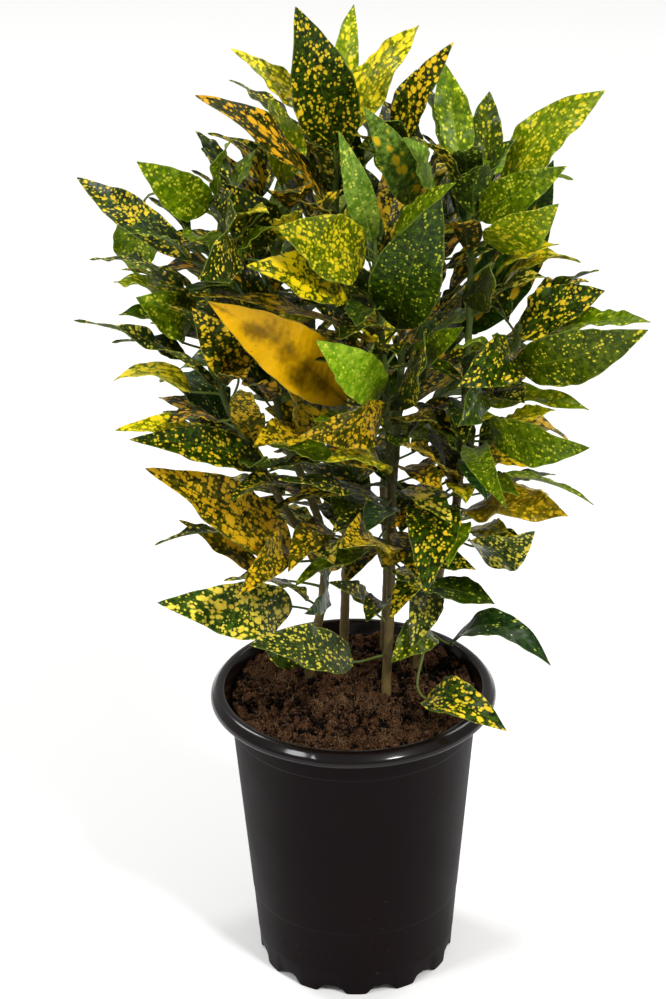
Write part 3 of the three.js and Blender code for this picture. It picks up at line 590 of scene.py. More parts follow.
# The leaves that show from the front. Each row: foot of the blade, tip, width,
# lean of its face towards the front in degrees, arch, wave, and its colouring
frontLeaves = {
    "middle": [
        ((30, 45, 560), (65, 20, 640), 18, 40, 6, 1.5, "blotched"),
        ((40, 30, 530), (10, -25, 615), 20, 60, 5, 1.5, "slate"),
        ((52, 32, 531), (34, -10, 588), 22, 60, 4, 2, "silver"),
        ((15, -5, 520), (-5, -40, 605), 16, 60, 5, 1, "silver"),
        ((15, -10, 455), (-95, -50, 505), 22, 0, 8, 2, "ochre"),
        ((0, -15, 490), (-60, -90, 540), 28, 50, 8, 2.5, "sunny"),
        ((10, -15, 515), (-42, -70, 553), 36, 60, 6, 3, "zesty"),
        ((25, -5, 515), (65, -35, 570), 15, 30, 5, 1, "leafGreen"),
        ((20, -10, 420), (-20, -75, 485), 26, 60, 6, 1.5, "bright"),
        ((30, -10, 465), (55, -75, 575), 38, 65, 6, 2, "dotted"),
        ((25, -10, 410), (45, -65, 485), 28, 60, 6, 2, "starred"),
        ((40, 0, 420), (70, -45, 480), 18, 40, 5, 2, "leafGreen"),
        ((-3, -10, 415), (-85, -60, 505), 34, 60, 8, 2, "golden"),
        ((20, -10, 405), (-30, -85, 425), 26, 55, 12, 3, "ochre"),
        ((20, -5, 365), (-15, -85, 410), 24, 40, 10, 2, "citrus"),
        ((20, 0, 340), (-45, -70, 390), 16, 20, 6, 1.5, "night"),
        ((20, -5, 295), (-8, -105, 360), 30, 40, 14, 3, "mottled"),
        ((15, -5, 260), (-15, -55, 310), 14, 40, 6, 1, "night"),
        ((0, -25, 235), (-65, -90, 285), 28, 45, 10, 2, "steel"),
        ((20, 20, 470), (-40, -5, 515), 26, 40, 6, 2, "night"),
    ],
    "left": [
        ((-72, 0, 560), (-94, 35, 580), 9, 20, 4, 1, "night"),
        ((-80, -5, 551), (-69, -30, 597), 10, 0, 4, 1.5, "leafGreen"),
        ((-86, -10, 545), (-125, -50, 591), 24, 65, 7, 2, "leafGreen"),
        ((-97, 0, 507), (-174, 85, 532), 20, 45, 6, 2, "starred"),
        ((-130, 50, 525), (-136, 30, 491), 26, 60, 6, 2, "leafGreen"),
        ((-82, -15, 553), (-87, -110, 537), 38, 70, 12, 3, "night"),
        ((-95, -5, 490), (-157, -40, 525), 14, 0, 8, 3, "steel"),
        ((-98, -10, 472), (-129, -50, 504), 27, 60, 6, 2, "leafGreen"),
        ((-70, -15, 435), (-95, -75, 510), 24, 60, 6, 2, "blotched"),
        ((-80, -15, 425), (-165, -75, 500), 13, 10, 8, 4, "steel"),
        ((-40, 15, 255), (-123, -65, 302), 33, 60, 12, 3, "creamy"),
        ((-35, 12, 212), (-60, -15, 255), 20, 50, 5, 2, "night"),
        ((-40, 5, 295), (-128, -50, 389), 34, 45, 10, 3, "ochre"),
        ((-45, 0, 310), (-70, -75, 310), 20, 50, 12, 3, "ochre"),
        ((-55, 10, 305), (-125, -40, 330), 16, -10, 8, 2, "night"),
        ((-60, 15, 280), (-112, 5, 325), 14, 30, 5, 1.5, "ochre"),
        ((-15, 10, 315), (-40, -60, 320), 20, 50, 10, 2, "ochre"),
        ((-30, 15, 260), (-80, -45, 305), 20, 20, 8, 2, "steel"),
        ((-20, 20, 280), (-30, -40, 278), 16, 50, 8, 1, "teal"),
        ((-75, -10, 385), (-145, -60, 420), 18, 20, 8, 2, "citrus"),
        ((-55, -10, 370), (-135, -65, 415), 22, 30, 8, 2, "starred"),
        ((-30, 0, 385), (-60, -65, 410), 20, 40, 8, 2, "mottled"),
        ((-60, -15, 385), (-65, -75, 450), 18, 50, 6, 2, "ochre"),
        ((-40, 0, 385), (-40, -45, 445), 18, 50, 5, 2, "mottled"),
        ((-48, 12, 515), (-75, -22, 568), 30, 60, 6, 2, "night"),
    ],
    "right": [
        ((70, 15, 555), (60, 60, 615), 21, 30, 6, 1.5, "leafGreen"),
        ((85, 30, 540), (90, 75, 590), 20, 30, 6, 1.5, "mossy"),
        ((95, 10, 550), (155, -15, 620), 28, 40, 7, 2, "lime"),
        ((85, 15, 556), (125, 90, 549), 32, 20, 8, 2.5, "bright"),
        ((80, 0, 535), (130, -50, 585), 22, 60, 6, 1.5, "leafGreen"),
        ((85, -5, 520), (125, -60, 565), 26, 70, 6, 2, "lime"),
        ((105, -20, 465), (155, -50, 505), 28, 40, 6, 2, "starred"),
        ((120, -20, 465), (179, -90, 501), 18, 30, 6, 1.5, "leafGreen"),
        ((103, -30, 447), (177, -80, 489), 30, 55, 8, 2, "mossy"),
        ((80, 0, 405), (147, -55, 428), 16, 30, 9, 3, "lime"),
        ((88, -10, 398), (145, -80, 413), 27, 65, 8, 2, "leafGreen"),
        ((80, -10, 380), (92, -141, 404), 16, 60, 14, 2, "leafGreen"),
        ((80, 0, 370), (120, -60, 395), 20, 20, 6, 2, "mottled"),
        ((75, 5, 330), (135, -65, 360), 28, 30, 10, 5, "bronze"),
        ((80, 10, 350), (155, -20, 345), 14, 0, 8, 1, "leafGreen"),
        ((80, 0, 306), (114, -70, 352), 28, 60, 8, 2, "steel"),
        ((65, 0, 325), (60, -60, 322), 18, 60, 8, 2.5, "leafGreen"),
        ((50, -5, 345), (45, -100, 325), 30, 70, 14, 2.5, "starred"),
        ((50, 30, 262), (38, -25, 245), 20, 70, 8, 1, "steel"),
        ((50, 20, 235), (25, -35, 240), 22, 60, 8, 2, "mossy"),
        ((65, 15, 225), (130, -15, 225), 20, 20, 26, 1.5, "teal"),
        ((48, -28, 208), (98, -80, 214), 24, 40, 16, 1.5, "starred"),
        ((65, 10, 345), (30, -60, 405), 20, 40, 6, 2, "ochre"),
        ((70, -5, 440), (65, -75, 425), 32, 60, 12, 4, "dotted"),
        ((100, -30, 455), (65, -80, 455), 28, 50, 10, 2, "starred"),
        ((72, 5, 478), (85, -55, 525), 24, 50, 6, 2, "mossy"),
        ((62, 10, 355), (45, -30, 405), 22, 50, 6, 2, "night"),
        ((57, 28, 300), (58, -25, 350), 20, 50, 6, 2, "night"),
    ],
    "back_left": [
        ((-5, 45, 562), (-30, 5, 668), 36, 60, 6, 2, "starred"),
        ((0, 60, 585), (5, 100, 640), 14, 30, 6, 1.5, "lime"),
        ((0, 40, 575), (45, 20, 660), 24, 50, 8, 3, "citrus"),
        ((-10, 40, 570), (-70, -10, 656), 19, 45, 8, 1.5, "citrus"),
        ((-30, 60, 560), (-75, 95, 595), 20, -20, 6, 1.5, "night"),
        ((-10, 30, 530), (-90, -30, 625), 28, 45, 8, 2, "ember"),
        ((-10, 60, 530), (-60, 100, 570), 22, 20, 8, 2, "ochre"),
        ((-15, 40, 370), (-55, -10, 415), 26, 50, 8, 2, "mottled"),
        ((-3, 50, 270), (-35, 0, 325), 24, 50, 8, 2, "mottled"),
    ],
    "back_right": [
        ((75, 50, 435), (128, 30, 560), 34, 70, 8, 2, "islet"),
        ((55, 70, 400), (75, 143, 425), 28, 0, 10, 2, "dotted"),
    ],
}

# Leaves that fill the back, the sides and the growing tips.
# Each row: branch, lowest and highest foot, count, first and last bearing in degrees, length
ruleLeaves = {
    "middle": [
        (1, 420, 540, 5, 20, 130, 95),
        (1, 548, 552, 2, 60, 240, 60),
        (0, 290, 510, 7, 40, 140, 85),
        (0, 350, 505, 5, 190, 350, 62),
        (1, 440, 545, 3, 180, 330, 62),
    ],
    "left": [
        (0, 330, 525, 11, 95, 215, 100),
        (1, 380, 520, 5, 110, 190, 95),
        (0, 530, 535, 3, 20, 300, 65),
        (0, 390, 525, 4, 230, 350, 62),
        (1, 440, 535, 3, 200, 330, 60),
    ],
    "right": [
        (0, 300, 535, 11, -20, 100, 95),
        (0, 540, 546, 2, 120, 250, 65),
        (1, 455, 468, 2, -60, 30, 80),
        (0, 320, 540, 6, 200, 340, 62),
    ],
    "back_left": [
        (0, 260, 545, 18, 50, 170, 105),
        (1, 370, 500, 8, 90, 200, 100),
        (1, 505, 510, 3, 20, 250, 65),
    ],
    "back_right": [
        (0, 255, 508, 18, -20, 130, 105),
        (0, 510, 517, 3, 10, 280, 65),
    ],
}

leafRule = {
    "seed": 20731, "bladeSpread": 1.15, "ratio": 0.33, "seatBehindFoot": 18,
    "petioleHalf": 1.1, "frontStations": (0.13, 0.36, 0.6, 0.82), "ruleStations": (0.18, 0.48, 0.8),
    "shortStations": (0.27, 0.68), "shortLength": 70,
    "stalkLength": 14, "stalkShare": 0.08, "lowRise": 8, "highRise": 48, "riseStart": 380, "riseEnd": 550,
    "riseSpread": 8, "lean": 20, "goldenTurn": 0.618, "shortestReach": 50, "reachStep": 5,
    "clear": (7.5, 5, 5), "inner": False, "clearOfPot": 4, "sampleStep": 4,
    "crown": (132, 142, 215), "crownMiddle": 420,
    "viewerSteps": (0, 10, -10, 20, -20, 30, -30, 40, -40), "leanSteps": (0, 20, -20),
    "bearingSteps": (0, 12, -12, 24, -24, 36, -36), "riseSteps": (0, 14, -14),
    "twist": (-25, 25), "fold": (0.05, 0.3), "lengthSpread": (0.85, 1.15), "widthSpread": (0.8, 1.2),
    "archShare": (0.04, 0.12), "wave": (1, 3),
}

# Small leaves in the heart of the plant: how far they keep from the other stems' leaves, from their own
# stem's leaves and from canes, and rows like those above
innerLeaves = {
    "clear": (3.2, 2.6, 2),
    "rows": {
        "middle": [
            (0, 290, 518, 20, -180, 180, 58), (1, 400, 550, 12, -180, 180, 56),
            (0, 262, 400, 10, 200, 350, 62),
        ],
        "left": [(0, 300, 533, 16, -180, 180, 58), (1, 360, 538, 14, -180, 180, 56)],
        "right": [
            (0, 300, 545, 20, -180, 180, 58), (1, 410, 468, 5, -180, 180, 52),
            (0, 285, 400, 7, 190, 330, 60),
        ],
        "back_left": [(0, 280, 552, 18, -180, 180, 60), (1, 380, 508, 9, -180, 180, 56)],
        "back_right": [(0, 280, 515, 16, -180, 180, 60)],
    },
}

placed = []
canes = {}


def draw(low, high):
    leafRule["seed"] = leafRule["seed"] * 16807 % 2147483647
    return low + (high - low) * leafRule["seed"] / 2147483647


def pointAtHeight(branch, height):
    for low, high in zip(branch, branch[1:]):
        if height <= high[2] or high is branch[-1]:
            return low + (high - low) * (height - low[2]) / (high[2] - low[2])


def nearestOnStem(branches, place):
    best, least = None, math.inf
    for branch in branches:
        for low, high in zip(branch, branch[1:]):
            span = high - low
            share = min(1, max(0, (place - low).dot(span) / span.dot(span)))
            point = low + span * share
            distance = np.linalg.norm(point - place)
            if distance < least:
                best, least = point, distance
    return best


def caneSamples(branch, start):
    places, radii = [], []
    for i, (low, high) in enumerate(zip(branch, branch[1:])):
        count = math.ceil(np.linalg.norm(high - low) / leafRule["sampleStep"])
        for j in range(count):
            share = (i + j / count) / (len(branch) - 1)
            places.append(low + (high - low) * (j / count))
            radii.append(start + (stems["tip"] - start) * share)
    return places, radii


def outline(share):
    return np.clip(np.sin(np.pi * share**0.8), 0, None) ** 0.9


def bladeFrame(leaf):
    # The blade's own axis, side and upward way
    axis = unit(leaf["tip"] - leaf["foot"])
    lean = math.radians(leaf["lean"])
    side = np.cross(axis, (0, -math.sin(lean), math.cos(lean)))
    if np.linalg.norm(side) < 0.2:
        side = np.cross(axis, (1, 0, 0))
    side = unit(side)
    return axis, side, np.cross(side, axis)


def bladeRow(leaf, share):
    # Centre, side and normal of the blade at shares of its length from the foot
    share = np.asarray(share, float)[:, None]
    axis, side, up = leaf["frame"]
    length = leaf["length"]
    centre = leaf["foot"] + axis * length * share + up * (leaf["arch"] * 4 * share * (1 - share))
    normal = up - axis * (leaf["arch"] * 4 * (1 - 2 * share) / length)
    normal = normal / np.linalg.norm(normal, axis=1)[:, None]
    turn = np.radians(leaf["twist"] * (share - 0.3))
    turnedSide = side * np.cos(turn) + normal * np.sin(turn)
    turnedNormal = normal * np.cos(turn) - side * np.sin(turn)
    return centre, turnedSide, turnedNormal


def leafPoints(leaf, branches):
    # Points spread over a leaf: down its petiole and over its blade
    leaf["frame"] = bladeFrame(leaf)
    axis, side = leaf["frame"][:2]
    leaf["length"] = np.linalg.norm(leaf["tip"] - leaf["foot"])
    leaf["seat"] = nearestOnStem(branches, leaf["foot"] - axis * leafRule["seatBehindFoot"])
    stations = np.array(leaf["stations"])
    centre, turnedSide, normal = bladeRow(leaf, stations)
    half = leaf["width"] / 2 * outline(stations)[:, None]
    sign = np.where(np.arange(len(stations)) % 2, -1, 1)[:, None]
    lift = leaf["fold"] * half
    left = centre + turnedSide * half + normal * (lift + leaf["wave"] * sign)
    right = centre - turnedSide * half + normal * (lift - leaf["wave"] * sign)
    foot, tip, ear = leaf["foot"], leaf["tip"], side * leafRule["petioleHalf"]
    left = np.vstack([foot + ear, left, tip])
    centre = np.vstack([foot, centre, tip])
    right = np.vstack([foot - ear, right, tip])
    count = math.ceil(np.linalg.norm(foot - leaf["seat"]) / leafRule["sampleStep"])
    stalk = [leaf["seat"] + (foot - leaf["seat"]) * (i / count) for i in range(1, count)]
    quarters = (np.arange(4) / 4)[None, :, None]
    spread = [
        edge[:-1, None] * (1 - quarters) + edge[1:, None] * quarters
        for edge in (left, centre, right)
    ]
    thirds = np.arange(4)[None, None, :, None] / 3
    near = spread[0][:, :, None] * (1 - thirds) + spread[1][:, :, None] * thirds
    far = (spread[1][:, :, None] * (1 - thirds) + spread[2][:, :, None] * thirds)[:, :, 1:]
    return np.vstack([*stalk, near.reshape(-1, 3), far.reshape(-1, 3), tip])


def meetsPot(points):
    reach = np.hypot(points[:, 0], points[:, 1])
    clear = leafRule["clearOfPot"]
    overPeat = reach < pot["rim"] - pot["lipReach"] - 2 * clear
    low = np.where(overPeat, soilTop + peat["lump"] + clear, pot["height"] + clear)
    return np.any((overPeat | (reach < pot["rim"] + clear)) & (points[:, 2] < low))


def nearPoints(points, others, distance):
    # How many of the points have another within a distance
    gaps = points[:, None] - others[None]
    return int(((gaps * gaps).sum(-1).min(1) < distance * distance).sum())


def misfit(stem, points):
    if meetsPot(points):
        return math.inf
    ofOthers, ofOwn, ofCane = leafRule["clear"]
    low, high = points.min(0) - ofOthers, points.max(0) + ofOthers
    for name, (places, radii) in canes.items():
        near = np.all((places >= low) & (places <= high), axis=1)
        if name != stem and near.any():
            gaps = np.linalg.norm(points[:, None] - places[near][None], axis=-1)
            if np.any(gaps < radii[near] + ofCane):
                return math.inf
    own = 0
    for other in placed:
        if np.all(other["low"] <= high) and np.all(other["high"] >= low):
            if other["stem"] == stem:
                own += nearPoints(points, other["points"], ofOwn)
            elif nearPoints(points, other["points"], ofOthers):
                return math.inf
    return own


def settle(stem, branches, choices):
    # The first choice that is clear of everything, or else the clearest one, is placed
    best, least = None, math.inf
    for leaf in choices:
        points = leafPoints(leaf, branches)
        score = misfit(stem, points)
        if score < least:
            best, least = (leaf, points), score
        if least == 0:
            break
    if best:
        leaf, points = best
        leaf.update(stem=stem, inner=leafRule["inner"])
        leaf.update(points=points, low=points.min(0), high=points.max(0))
        placed.append(leaf)


def placeFrontLeaf(stem, branches, row):
    foot, tip, width, lean, arch, wave, colouring = row
    twist, fold = draw(*leafRule["twist"]), draw(*leafRule["fold"])
    towardsViewer = np.array([0, -0.87, 0.5])
    settle(stem, branches, (
        {
            "foot": np.array(foot, float), "tip": np.array(tip) + towardsViewer * step,
            "width": width * leafRule["bladeSpread"], "lean": lean + turn, "arch": arch, "wave": wave,
            "twist": twist, "fold": fold, "stations": leafRule["frontStations"], "colouring": colouring,
        }
        for step in leafRule["viewerSteps"] for turn in leafRule["leanSteps"]
    ))


def ruleChoices(seat, bearing, rise, length, size, shape):
    for turn in leafRule["bearingSteps"]:
        for tilt in leafRule["riseSteps"]:
            across, upward = math.radians(bearing + turn), math.radians(rise + tilt)
            level = math.cos(upward)
            way = np.array([math.cos(across) * level, math.sin(across) * level, math.sin(upward)])
            foot = seat + way * (leafRule["stalkLength"] + length * leafRule["stalkShare"])
            reach = size
            while reach > leafRule["shortestReach"] and outsideCrown(foot + way * reach):
                reach -= leafRule["reachStep"]
            lean = -leafRule["lean"] * math.sin(across)
            yield {"foot": foot, "tip": foot + way * reach, "lean": lean, **shape}


def outsideCrown(place):
    return np.linalg.norm((place - (0, 0, leafRule["crownMiddle"])) / leafRule["crown"]) > 1


def placeRuleLeaves(stem, branches, rows):
    # They climb each branch, turning by the golden section within their bearings
    for branch, low, high, count, first, last, length in rows:
        for i in range(count):
            height = low + (high - low) * (i + 0.5) / count
            bearing = first + (last - first) * ((i * leafRule["goldenTurn"] + 0.3) % 1)
            start, end = leafRule["riseStart"], leafRule["riseEnd"]
            climb = max(0, (height - start) / (end - start))
            rise = leafRule["lowRise"] + (leafRule["highRise"] - leafRule["lowRise"]) * climb
            rise += draw(-leafRule["riseSpread"], leafRule["riseSpread"])
            twist, fold = draw(*leafRule["twist"]), draw(*leafRule["fold"])
            size = length * draw(*leafRule["lengthSpread"])
            width = size * leafRule["ratio"] * draw(*leafRule["widthSpread"])
            arch, wave = size * draw(*leafRule["archShare"]), draw(*leafRule["wave"])
            short = length < leafRule["shortLength"]
            shape = {
                "width": width, "arch": arch, "wave": wave, "twist": twist, "fold": fold,
                "stations": leafRule["shortStations" if short else "ruleStations"], "colouring": None,
            }
            seat = pointAtHeight(branches[branch], height)
            settle(stem, branches, ruleChoices(seat, bearing, rise, length, size, shape))


def placeLeaves():
    plans = {
        stem: [[np.array(point, float) for point in branch] for branch in plan]
        for stem, plan in stemPlans.items()
    }
    for stem, branches in plans.items():
        places, radii = [], []
        for i, branch in enumerate(branches):
            more, moreRadii = caneSamples(branch, stems["branchRadius"] if i else stems["radius"])
            places += more
            radii += moreRadii
        canes[stem] = np.array(places), np.array(radii)
    for stem, rows in frontLeaves.items():
        for row in rows:
            placeFrontLeaf(stem, plans[stem], row)
    for stem in plans:
        placeRuleLeaves(stem, plans[stem], ruleLeaves[stem])
    solidLeaves = len(placed)
    # small leaves in the heart of the plant, closer together than the solids can be
    leafRule.update(clear=innerLeaves["clear"], inner=True)
    for stem, rows in innerLeaves["rows"].items():
        placeRuleLeaves(stem, plans[stem], rows)
    print("leaves placed:", solidLeaves, "and inside the plant:", len(placed) - solidLeaves)


# The leaves' colourings: the ground and its lighter second colour, the spots, how many of them are fine,
# middling and large, and how pale the midrib is
colourings = {
    "night": ((20, 30, 7), (50, 66, 12), (224, 192, 70), (0.36, 0.16, 0), 0.3),
    "starred": ((22, 34, 7), (56, 76, 12), (228, 192, 58), (0.42, 0.3, 0.1), 0.3),
    "blotched": ((24, 32, 7), (60, 70, 12), (232, 190, 50), (0.5, 0.46, 0.22), 0.3),
    "ember": ((24, 30, 8), (60, 62, 14), (216, 160, 44), (0.35, 0.4, 0.34), 0.3),
    "creamy": ((32, 50, 18), (64, 86, 30), (238, 212, 100), (0.4, 0.5, 0.28), 0.3),
    "dotted": ((30, 46, 6), (62, 84, 9), (184, 186, 62), (0.32, 0.05, 0), 0.4),
    "mossy": ((42, 56, 8), (80, 92, 14), (200, 186, 62), (0.3, 0.18, 0.08), 0.3),
    "islet": ((20, 40, 10), (46, 72, 14), (220, 174, 44), (0.14, 0.12, 0.44), 0.3),
    "slate": ((54, 78, 32), (122, 148, 70), (224, 190, 54), (0.14, 0.2, 0.46), 0.5),
    "leafGreen": ((62, 84, 6), (110, 128, 18), (196, 194, 66), (0.34, 0.14, 0.04), 0.5),
    "lime": ((80, 102, 6), (130, 140, 22), (222, 204, 60), (0.42, 0.28, 0.08), 0.5),
    "bright": ((96, 134, 18), (148, 174, 50), (210, 214, 96), (0.34, 0.14, 0), 0.7),
    "citrus": ((78, 90, 8), (146, 144, 22), (234, 208, 48), (0.6, 0.6, 0.3), 0.4),
    "zesty": ((62, 78, 8), (118, 124, 20), (226, 204, 50), (0.5, 0.46, 0.16), 0.4),
    "sunny": ((48, 62, 8), (104, 112, 14), (242, 212, 36), (0.7, 0.72, 0.5), 0.3),
    "mottled": ((40, 46, 10), (96, 86, 16), (224, 184, 42), (0.7, 0.72, 0.34), 0.2),
    "golden": ((216, 160, 12), (98, 72, 8), (120, 92, 12), (0.15, 0, 0), 0.1),
    "bronze": ((82, 76, 12), (144, 116, 20), (216, 176, 48), (0.35, 0.3, 0.14), 0.3),
    "ochre": ((38, 42, 10), (86, 80, 16), (214, 168, 44), (0.55, 0.5, 0.25), 0.3),
    # the next colouring is dark green, with a painted grey sheen in its ground and second colour
    "steel": ((35, 47, 27), (68, 80, 48), (218, 200, 92), (0.42, 0.32, 0.08), 0.3),
    "teal": ((22, 42, 22), (46, 70, 38), (200, 198, 96), (0.24, 0.06, 0), 0.3),
    "silver": ((82, 116, 38), (138, 162, 78), (216, 220, 112), (0.3, 0.2, 0), 0.7),
}
fillShares = {
    "night": 0.22, "starred": 0.14, "blotched": 0.12, "ember": 0.05, "dotted": 0.14, "leafGreen": 0.1,
    "lime": 0.07, "citrus": 0.04, "creamy": 0.05, "ochre": 0.03, "teal": 0.04,
}

# The flushed colouring is clouded with its second colour. Each size of spot has how many cells lie in a
# centimetre along and across the blade, how wide a spot grows, how well it covers, and its duller shade
leaves = {
    "rows": 34, "innerRows": 22, "columns": (0.22, 0.42, 0.62, 0.82, 1.0), "thickness": 0.6, "edge": 0.15,
    "ribWidth": 1.1, "ribShare": 0.12, "ribDepth": 0.9, "ribGroove": 0.3,
    "veinSlant": 0.8, "veinSpacing": 0.62,
    "ruffle": (0.4, 1.3), "ruffleCount": (3, 7), "nick": 0.02, "nickTurns": 40,
    "sweep": 0.035, "seed": 11,
    "petioleRadius": (1.25, 0.8), "petioleSides": 8, "petioleRings": 11, "petioleTaper": 6,
    "petioleLeaving": 0.35, "petioleRise": 0.05, "petioleArriving": 0.3, "petioleSink": 1.5,
    "roughness": 0.36,
    "flushed": "golden", "spotUpright": 0.6, "tint": (1.13, 1.18, 0.71), "innerPaintedShade": 0.89,
    "spots": (
        {"cells": (3.9, 5.6, 1.0), "widest": 0.54, "cover": 0.92, "dull": (0.6, 0.66, 0.6)},
        {"cells": (2.0, 3.3, 1.0), "widest": 0.54, "cover": 0.96, "dull": (0.84, 0.76, 0.5)},
        {"cells": (0.85, 1.8, 1.0), "widest": 0.5, "cover": 1.0, "dull": (0.95, 0.86, 0.6)},
    ),
}
centimetre = 10  # the leaf's pattern is measured in centimetres


def waveAlong(leaf, share):
    # The margin's wave: it turns over from each station of the blade to the next
    first, second = leaf["stations"][:2]
    turning = np.cos(np.pi * (share - first) / (second - first))
    return leaf["wave"] * turning * np.sin(np.pi * share) ** 0.4


def bladeGrid(leaf, draws):
    # The blade's upper and lower points in rows, with their shares along and across it and their offsets
    share = np.linspace(0, 1, leaves["innerRows" if leaf["inner"] else "rows"])[:, None]
    half = leaf["width"] / 2 * outline(share)
    half = np.maximum(half, leafRule["petioleHalf"] * (1 - share) ** 2 + leaves["edge"])
    inner = np.minimum(leaves["ribWidth"] / half, leaves["ribShare"])
    outer = np.array(leaves["columns"])[None] * np.ones_like(share)
    across = np.hstack([-outer[:, ::-1], -inner, np.zeros_like(share), inner, outer])
    centre, side, normal = bladeRow(leaf, share[:, 0])
    sweep = draws.uniform(-1, 1) * leaves["sweep"] * leaf["length"]
    centre = centre + side * sweep * np.sin(np.pi * share)
    ruffle, turns = draws.uniform(*leaves["ruffle"]), draws.uniform(*leaves["ruffleCount"])
    phases = np.where(across > 0, draws.uniform(0, 6.3), draws.uniform(0, 6.3))
    lift = leaf["fold"] * half * np.abs(across) ** 1.3
    lift = lift + waveAlong(leaf, share) * np.sign(across) * np.abs(across) ** 1.6
    ripple = np.sin(2 * np.pi * turns * share + phases)
    lift = lift + ruffle * np.abs(across) ** 3 * ripple * np.sin(np.pi * share)
    width = across * half * (1 + leaves["nick"] * np.sin(leaves["nickTurns"] * share + phases))
    surface = centre[:, None] + side[:, None] * width[..., None] + normal[:, None] * lift[..., None]
    facing = np.cross(np.gradient(surface, axis=1), np.gradient(surface, axis=0))
    facing /= np.linalg.norm(facing, axis=2)[..., None]
    rib = np.exp(-((width / leaves["ribWidth"]) ** 2) * 1.4)
    upper = leaves["thickness"] / 2 - leaves["ribGroove"] * rib * (1 - share)
    lower = leaves["thickness"] / 2 + leaves["ribDepth"] * rib * (1.05 - share)
    return surface + facing * upper[..., None], surface - facing * lower[..., None], share, across, width


def addBlade(heap, leaf, draws):
    top, low, share, across, width = bladeGrid(leaf, draws)
    rows, columns = across.shape
    alongVein = (share * leaf["length"] - leaves["veinSlant"] * np.abs(width)) / centimetre
    pick = draws.random()
    shade = draws.uniform(0.85, 1.15) * np.array(leaves["tint"])
    # leaves in the heart of the plant are painted darker, as painted shade inside the crown
    shade = shade * (leaves["innerPaintedShade"] if leaf["inner"] else 1)
    *tones, spots, ribPale = colourings[leaf["colouring"]]
    ground, second, spot = (np.array(tone(*colour)[:3]) * shade for colour in tones)
    flush = 1 if leaf["colouring"] == leaves["flushed"] else 0
    both = []
    for under in (0.0, 1.0):
        lie = np.stack([alongVein, width / centimetre, np.full_like(width, under)], -1)
        both.append(lie.reshape(-1, 3))
    picks = np.stack([share * np.ones_like(width), np.abs(across), np.full_like(width, pick)], -1)
    picks = picks.reshape(-1, 3)
    total = rows * columns
    faces = [gridFaces(rows, columns), gridFaces(rows, columns, flipped=True) + total]
    faces += rimFaces(rows, columns, total)
    heap.add(
        np.vstack([top.reshape(-1, 3), low.reshape(-1, 3)]), faces, 0,
        groundTint=ground, secondTint=second, spotTint=spot, flushRib=(flush, ribPale, 0),
        spotting=np.array(spots) * draws.uniform(0.85, 1.15),
        bladePlace=np.vstack(both), leafPick=np.vstack([picks, picks]),
    )


def rimFaces(rows, columns, total):
    # The faces of the blade's edge, between its upper and its lower grid
    def strip(edge):
        near, far = edge[:-1], edge[1:]
        return np.stack([near, near + total, far + total, far], -1)

    index = np.arange(rows * columns).reshape(rows, columns)
    return [strip(index[:, -1]), strip(index[::-1, 0]), strip(index[0]), strip(index[-1, ::-1])]


def addPetiole(heap, leaf):
    axis, seat, foot = leaf["frame"][0], leaf["seat"], leaf["foot"]
    length = np.linalg.norm(foot - seat)
    rise = np.array([0, 0, leaves["petioleRise"] * length])
    leaving = seat + (foot - seat) * leaves["petioleLeaving"] + rise
    arriving = foot - axis * leaves["petioleArriving"] * length
    t = np.linspace(0, 1, leaves["petioleRings"])[:, None]
    path = (1 - t) ** 3 * seat + 3 * t * (1 - t) ** 2 * leaving + 3 * t**2 * (1 - t) * arriving
    path = path + t**3 * (foot + axis * leaves["petioleSink"])
    thick, thin = leaves["petioleRadius"]
    radii = thin + (thick - thin) * np.exp(-t[:, 0] * leaves["petioleTaper"])
    points, faces = tube(path, radii, leaves["petioleSides"])
    tint = np.array(stems["petiole"][:3]) * (0.8 + 0.4 * ((seat[2] * 7.3) % 1))
    heap.add(points, faces, 1, barkTint=tint, leafPick=(0, 0, 0))


def barkColour(heights):
    # Old wood at the foot, younger wood and then green towards the tips
    colours = np.array([stems[name][:3] for name in ("oldWood", "youngWood", "green", "petiole")])
    return np.stack([np.interp(heights, stems["woodHeights"], colours[:, k]) for k in range(3)], -1)


def addCane(heap, branch, start, seats, draws):
    path = smoothPath(branch, stems["spacing"])
    share = np.linspace(0, 1, len(path))
    plain = start + (stems["tip"] - start) * share
    scars = np.arange(branch[0][2] + stems["scarStart"], branch[-1][2], stems["scarGap"])
    scars = scars + draws.uniform(-stems["scarShift"], stems["scarShift"])
    radii = plain
    for height in [seat[2] for seat in seats] + list(scars):
        swell = np.exp(-(((path[:, 2] - height) / stems["scarLength"]) ** 2))
        radii = radii + stems["scarSwell"] * draws.uniform(0.4, 1) * swell
    radii = np.minimum(radii, plain + stems["scarLimit"])
    points, faces = tube(path, radii, stems["sides"])
    heap.add(points, faces, 1, barkTint=barkColour(points[:, 2]), leafPick=(0, 0, 1))


